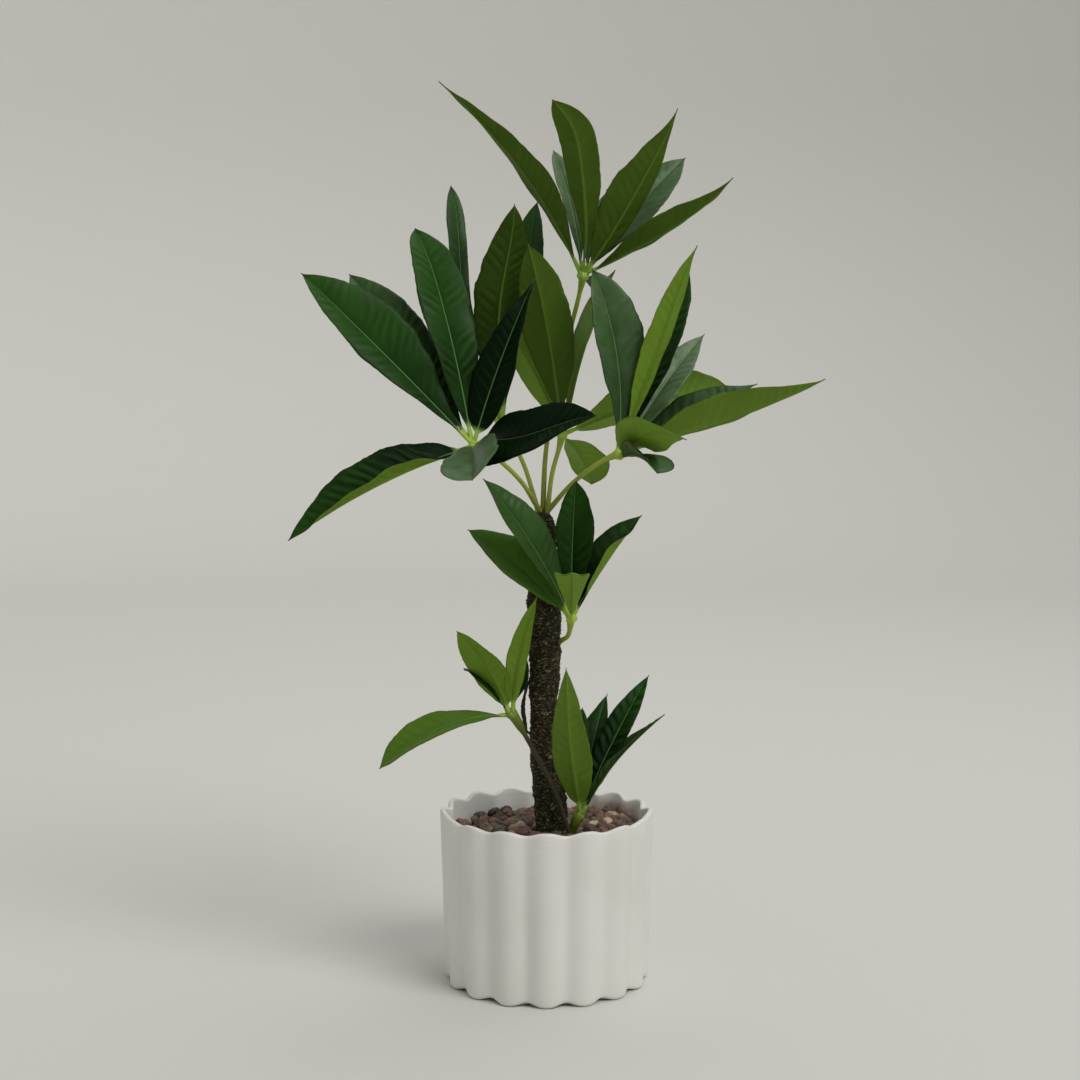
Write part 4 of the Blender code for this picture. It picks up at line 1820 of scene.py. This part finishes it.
    def relief(
        self, where: np.ndarray, aside: np.ndarray, habit: Habit, luck: LeafLuck
    ) -> tuple[np.ndarray, np.ndarray, np.ndarray]:
        """Work out the edges' slow waves, the pillows between side veins and the rib's groove.

        Args:
            where: how far along each row is.
            aside: how far each point is from the midrib.
            habit: how this leaf differs.
            luck: what chance gives it.
        Returns:
            How far each point rises, how deep the pillows are there, and how many side veins
            lie between it and the foot.
        """
        shape = self.shape
        share = where / where[-1]
        across = shape.across()[None]
        out = np.abs(across)
        left, right = [
            np.sin(where / wave * tau + first) + 0.5 * np.sin(where / wave * 2.3 * tau + second)
            for wave, first, second in zip(luck.waves, luck.phases[::2], luck.phases[1::2])
        ]
        fade = (ease(share, 0.1, 0.3) * ease(share, 1.0, 0.85))[:, None]
        rise = habit.wave * np.where(across < 0, left[:, None], right[:, None]) * fade
        rise = rise * out ** 2.2
        # One noise bends the veins, and the other makes some pillows deeper than others.
        drift = np.array([
            [
                [noise.noise(Vector((far * 70, off * 45, luck.place + apart))) for apart in (0, 20)]
                for off in row
            ]
            for far, row in zip(where, aside)
        ])
        veins = (where[:, None] - shape.vein_lean * np.abs(aside)) / shape.vein_gap
        veins = veins + luck.vein_start
        veins = veins + 0.55 * drift[..., 0]
        ridge = np.abs(np.sin(pi * veins)) ** 0.8 - 0.6
        calm = ease(out, 0.03, 0.25) * ease(out, 1.0, 0.75)
        ripple = habit.ripple * np.clip(0.75 + 1.5 * drift[..., 1], 0.1, 1.3) * calm * fade
        rise = rise + shape.pillow * ripple * ridge
        on_blade = 1 - shape.on_stalk(share)[:, None]
        groove = shape.groove * np.exp(-(aside / shape.groove_width) ** 2) * on_blade
        return rise - groove * ease(share, 1.0, 0.7)[:, None], ripple, veins

    def lay(self, lines: np.ndarray, habit: Habit, luck: LeafLuck) -> dict[str, np.ndarray]:
        """Lay the blade over a leaf's lines.

        Args:
            lines: what read_lines returns.
            habit: how this leaf differs.
            luck: what chance gives it.
        Returns:
            Rows by columns of points on both faces, and the facts that the finish reads.
        """
        shape = self.shape
        where, rib, spread = self.spine(lines, habit)
        share = where / where[-1]
        spread = self.widen(where, spread, habit, luck)
        spread = self.turn_sides(rib, spread, habit, share)
        mid, normal, aside = self.stretch_over(rib, spread, habit, share)
        rise, ripple, veins = self.relief(where, aside, habit, luck)
        surface = mid + normal * rise[..., None]
        normal = unit(np.cross(np.gradient(surface, axis=1), np.gradient(surface, axis=0)))
        # Two faces: the upper one, and the underside with the midrib standing out of it.
        across = np.broadcast_to(shape.across()[None], aside.shape)
        half = shape.thickness / 2
        taper = (1 - 0.8 * share)[:, None]
        bead = shape.rib_drop * taper * np.exp(-(aside / (shape.rib_width * taper)) ** 2)
        stalk = shape.stalk_radius * np.sqrt(np.clip(1 - across ** 2, 0, 1))
        blend = shape.on_stalk(share)[:, None]
        below = half + bead * (1 - blend) + stalk * blend
        above = half + 0.45 * stalk * blend
        # A blunt end has no dry tip, so its share of the length stops short of one.
        full = 0.95 if habit.taper < 0.5 else 1.0
        return {
            "top": surface + normal * above[..., None],
            "bottom": surface - normal * below[..., None],
            "blade_mm": np.stack([
                aside / MM, np.broadcast_to(where[:, None] / MM, aside.shape),
                np.full(aside.shape, luck.vein_start * 100),
            ], axis=2),
            "blade_part": np.stack([
                across, np.broadcast_to(share[:, None] * full, aside.shape), veins,
            ], axis=2),
            "ripple": ripple,
        }

    def build(self, node: str, seed: int) -> bpy.types.Object:
        """Build the leaf that stands for a solid.

        Args:
            node: the leaf's solid.
            seed: starts its random numbers.
        Returns:
            The leaf.
        """
        shape = self.shape
        habit = HABITS[node]
        laid = self.lay(self.read_lines(node), habit, LeafLuck.draw(seed))
        mesh = self.blank.data.copy()
        leaf = bpy.data.objects.new(node + "_blade", mesh)
        bpy.context.collection.objects.link(leaf)
        row, column, height = grid_places(mesh, shape.rows, shape.columns)
        on_top = height > 0
        points = np.where(on_top[:, None], laid["top"][row, column], laid["bottom"][row, column])
        mesh.vertices.foreach_set("co", points.ravel())
        for fact in ("blade_mm", "blade_part", "ripple"):
            set_fact(mesh, fact, laid[fact][row, column])
        # A leaf is lighter, with more painted sheen, towards its tip.
        under = habit.under or habit.tone
        tones = np.where(on_top[:, None], habit.tone.value, under.value)
        share = row / shape.rows
        tones[:, 0] += np.where(on_top, 0.65, 0.2) * (share - 0.6)
        tones[:, 2] *= 0.4 + 0.95 * share
        set_fact(mesh, "tone", tones)
        mesh.update()
        return settle(leaf, node)


@dataclass(frozen=True)
class StalkShape:
    """One stalk's radii, its flare under the hub, the share of it that is woody, and whether its
    skin has painted shade.
    """

    foot_radius: float = 1.55 * MM
    neck_radius: float = 1.25 * MM
    hub_radius: float = 3.0 * MM
    flare: float = 0.7
    woody: float = 0.0
    painted_shade: bool = False


# The low stalks are thicker at the neck, and their skin has painted shade.
LOW_STALKS = {
    "low_left": StalkShape(foot_radius=1.35 * MM, neck_radius=2.2 * MM, hub_radius=3.1 * MM,
                           flare=0.3, woody=0.78, painted_shade=True),
    "low_right": StalkShape(foot_radius=2.9 * MM, neck_radius=2.6 * MM, hub_radius=2.5 * MM,
                            flare=0.2, painted_shade=True),
}


@dataclass
class Whorl:
    """A stalk and the ring of leaves at its head."""

    name: str
    seed: int
    stalk: StalkShape
    sides: int = 28
    row_gap: float = 0.7 * MM
    least_rows: int = 60
    root_depth: float = 6 * MM
    hub_cap: float = 2.4 * MM
    hub_middle: float = 3.0 * MM
    hub_half: float = 3.2 * MM
    rib: float = 0.05 * MM
    bulge: float = 0.03 * MM
    lobe: float = 0.16

    def leaf_nodes(self) -> list[str]:
        """Return the names of this whorl's leaves."""
        first = self.name + "_leaf_"
        return sorted(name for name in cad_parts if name.startswith(first))

    def hub(self, maker: LeafMaker) -> np.ndarray:
        """Work out the hub's middle, where the leaves' feet point back to.

        Args:
            maker: reads the leaves' lines.
        Returns:
            The hub's middle.
        """
        ends = []
        for node in self.leaf_nodes():
            middle = maker.read_lines(node)[:, 2]
            ends.append(middle[0] - unit(middle[1] - middle[0]) * maker.shape.hub_gap)
        return np.mean(ends, axis=0)

    def route(self, hub: np.ndarray) -> tuple[np.ndarray, np.ndarray]:
        """Run the stalk's line from inside the trunk or the soil to just past its hub.

        Args:
            hub: the hub's middle.
        Returns:
            The points of the line, and how far along it each one is.
        """
        solid = SolidReader(self.name + "_stalk")
        away = np.linalg.norm(solid.points - hub, axis=1)
        line = solid.tube_line([int(index) for index in np.argsort(-away)[:8]])
        along = lengths_along(line)
        line = line[along < along[-1] - 2.2 * MM]
        ahead = unit(hub - line[-1])
        root = line[0] - unit(line[1] - line[0]) * self.root_depth
        line = np.concatenate([[root], line[:-1], [hub, hub + ahead * self.hub_cap]])
        along = lengths_along(line)
        rows = max(self.least_rows, int(along[-1] / self.row_gap))
        where = np.linspace(0, along[-1], rows)
        return through(along, line, where), where

    def girth(self, where: np.ndarray) -> np.ndarray:
        """Work out how thick the stalk is: from its foot to its neck, flared under the hub.

        Args:
            where: how far along each row is.
        Returns:
            The radius at each row.
        """
        stalk = self.stalk
        left = where[-1] - where
        filled = ease(where / where[-1], stalk.woody, stalk.woody + 0.35 * (1 - stalk.woody))
        girth = stalk.foot_radius + (stalk.neck_radius - stalk.foot_radius) * filled
        off_middle = (left - self.hub_middle) / self.hub_half
        knob = stalk.hub_radius * np.sqrt(np.clip(1 - off_middle ** 2, 0, 1))
        neck = girth * (1 + stalk.flare * ease(left, 14 * MM, 4 * MM))
        girth = np.where(left < self.hub_middle, knob, np.maximum(neck, knob))
        girth *= np.sqrt(np.clip(where / (0.6 * MM), 0, 1))
        girth[-1] = 0.0
        return girth

    def build_stalk(self, maker: LeafMaker, skin: bpy.types.Material) -> bpy.types.Object:
        """Build the stalk, which swells into a lobed hub.

        Args:
            maker: reads the leaves' lines.
            skin: the finish.
        Returns:
            The stalk.
        """
        stalk = self.stalk
        route, where = self.route(self.hub(maker))
        girth = self.girth(where)
        tube = Tube(route, girth, self.sides)
        turn = tube.angles()[None]
        ribs = self.rib * np.cos(7 * turn) + self.bulge * np.cos(3 * turn + 1.0)
        lobes = self.lobe * stalk.hub_radius * np.cos(len(self.leaf_nodes()) * turn)
        near = ease(where[-1] - where, 6 * MM, 3 * MM)[:, None]
        closing = np.clip(girth / stalk.neck_radius, 0, 1)[:, None]
        relief = (ribs * (1 - near) + lobes * near) * closing
        # The skin reads how far it has greened, from wood at 0 to the bright hub at 1.
        grown = np.clip((where / where[-1] - stalk.woody) / (1 - stalk.woody), -0.3, 1)
        green = np.repeat((0.14 + 0.48 * grown)[:, None] + near * 0.38, self.sides + 1, axis=1)
        node = self.name + "_stalk"
        piece = lay_sheet(node + "_stem", tube.surface(relief), {"share": green})
        piece.data.materials.append(skin)
        return settle(piece, node)

    def build_leaves(self, maker: LeafMaker) -> list[bpy.types.Object]:
        """Build every leaf.

        Args:
            maker: shapes the leaves.
        Returns:
            The leaves.
        """
        return [
            maker.build(node, self.seed * 100 + number)
            for number, node in enumerate(self.leaf_nodes())
        ]


@dataclass(frozen=True)
class Softbox:
    """A square soft light: its place, its width, its power and its colour."""

    name: str
    place: tuple[float, float, float]
    size: float
    power: float
    colour: str


@dataclass
class Studio:
    """Pale paper floor that curves up all round, soft lights, and the camera.

    The window's spread is in degrees, and the camera's drop and roll are in radians.
    """

    floor_radius: float = 2.0
    wall_radius: float = 2.9
    wall_height: float = 2.0
    flat_radius: float = 0.4
    columns: int = 96
    aim: tuple[float, float, float] = (0.0, 0.0, 0.26)
    softboxes: tuple[Softbox, ...] = (
        Softbox("key_softbox", (1.1, -1.0, 1.5), 0.8, 6.0, "#fffefb"),
        Softbox("top_softbox", (0.5, 0.5, 1.9), 1.0, 5.0, "#fffffd"),
    )
    window_way: tuple[float, float, float] = (-0.55, 0.55, -0.8)
    window_power: float = 1.05
    window_spread: float = 35.0
    window_colour: str = "#fffefa"
    air_power: float = 0.47
    air_colour: str = "#f7f8f8"
    lens: float = 61.9
    camera_place: tuple[float, float, float] = (0.0, -1.03, 0.342)
    camera_drop: float = 0.0902
    camera_roll: float = 0.0036

    def build_floor(self, paper: bpy.types.Material) -> None:
        """Build the floor as a wide bowl, which looks the same from every side.

        Args:
            paper: the finish.
        """
        bend = self.wall_radius - self.floor_radius
        outline = [(0.0, 0.0), (self.flat_radius, 0.0), (self.floor_radius, 0.0)]
        outline += [
            (self.floor_radius + bend * sin(radians(turn)), bend * (1 - cos(radians(turn))))
            for turn in range(9, 91, 9)
        ]
        outline.append((self.wall_radius, self.wall_height))
        turns = np.linspace(0, tau, self.columns + 1)
        points = np.array([
            [(radius * cos(turn), radius * sin(turn), height) for turn in turns]
            for radius, height in outline
        ])
        floor = lay_sheet("backdrop", points)
        bpy.ops.object.mode_set(mode="EDIT")
        bpy.ops.mesh.flip_normals()
        bpy.ops.object.mode_set(mode="OBJECT")
        floor.data.shade_smooth()
        floor.data.materials.append(paper)

    def hang(self, softbox: Softbox) -> None:
        """Hang a soft light that faces the plant.

        Args:
            softbox: the light.
        """
        data = bpy.data.lights.new(softbox.name, "AREA")
        data.shape = "SQUARE"
        data.size = softbox.size
        data.energy = softbox.power
        data.color = linear(softbox.colour)[:3]
        light = bpy.data.objects.new(softbox.name, data)
        light.location = softbox.place
        way = Vector(self.aim) - Vector(softbox.place)
        light.rotation_euler = way.to_track_quat("-Z", "Y").to_euler()
        bpy.context.collection.objects.link(light)

    def light(self) -> None:
        """Light the plant softly from above, more from the right and the front."""
        for softbox in self.softboxes:
            self.hang(softbox)
        sun = bpy.data.lights.new("window_light", "SUN")
        sun.energy = self.window_power
        sun.angle = radians(self.window_spread)
        sun.color = linear(self.window_colour)[:3]
        window = bpy.data.objects.new("window_light", sun)
        window.rotation_euler = Vector(self.window_way).to_track_quat("-Z", "Y").to_euler()
        bpy.context.collection.objects.link(window)
        world = bpy.data.worlds.new("studio_air")
        world.use_nodes = True
        air = world.node_tree.nodes["Background"]
        air.inputs["Color"].default_value = linear(self.air_colour)
        air.inputs["Strength"].default_value = self.air_power
        bpy.context.scene.world = world

    def aim_camera(self) -> None:
        """Set the camera level with the leaves, looking slightly down."""
        data = bpy.data.cameras.new("camera")
        data.lens = self.lens
        data.clip_end = 20.0
        camera = bpy.data.objects.new("camera", data)
        camera.location = self.camera_place
        camera.rotation_euler = (pi / 2 - self.camera_drop, 0.0, self.camera_roll)
        bpy.context.collection.objects.link(camera)
        bpy.context.scene.camera = camera

    def build(self, paper: bpy.types.Material) -> None:
        """Set up the whole studio.

        Args:
            paper: the floor's finish.
        """
        self.aim_camera()
        self.build_floor(paper)
        self.light()
        bpy.context.scene.view_settings.view_transform = "Standard"


def report(*pieces: bpy.types.Object) -> None:
    """Log how many faces each piece has."""
    for piece in pieces:
        log.info("%s: %d faces", piece.name, len(piece.data.polygons))


def main() -> None:
    """Build the studio and every piece."""
    logging.basicConfig(level=logging.INFO, format="%(message)s")
    Studio().build(StudioPaper().build())
    pot = FlutedPot()
    report(pot.build(MattGlaze().build()))
    filling = Filling(pot)
    report(filling.build_soil(PottingSoil().build()))
    report(filling.build_pebbles(RiverPebble().build()))
    bark = WrinkledBark().build()
    trunk = Trunk()
    report(trunk.build(bark))
    report(trunk.build_tendril(bark))
    maker = LeafMaker(BladeShape(), UPPER_FACE.build(), UNDER_FACE.build())
    maker.make_blank()
    lit, painted_shade = LIT_STALK.build(), PAINTED_SHADE_STALK.build()
    names = sorted(name[:-len("_stalk")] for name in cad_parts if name.endswith("_stalk"))
    for number, name in enumerate(names):
        whorl = Whorl(name, number + 1, LOW_STALKS.get(name, StalkShape()))
        report(whorl.build_stalk(maker, painted_shade if whorl.stalk.painted_shade else lit))
        report(*whorl.build_leaves(maker))
    maker.drop_blank()


if __name__ == "__main__":
    main()
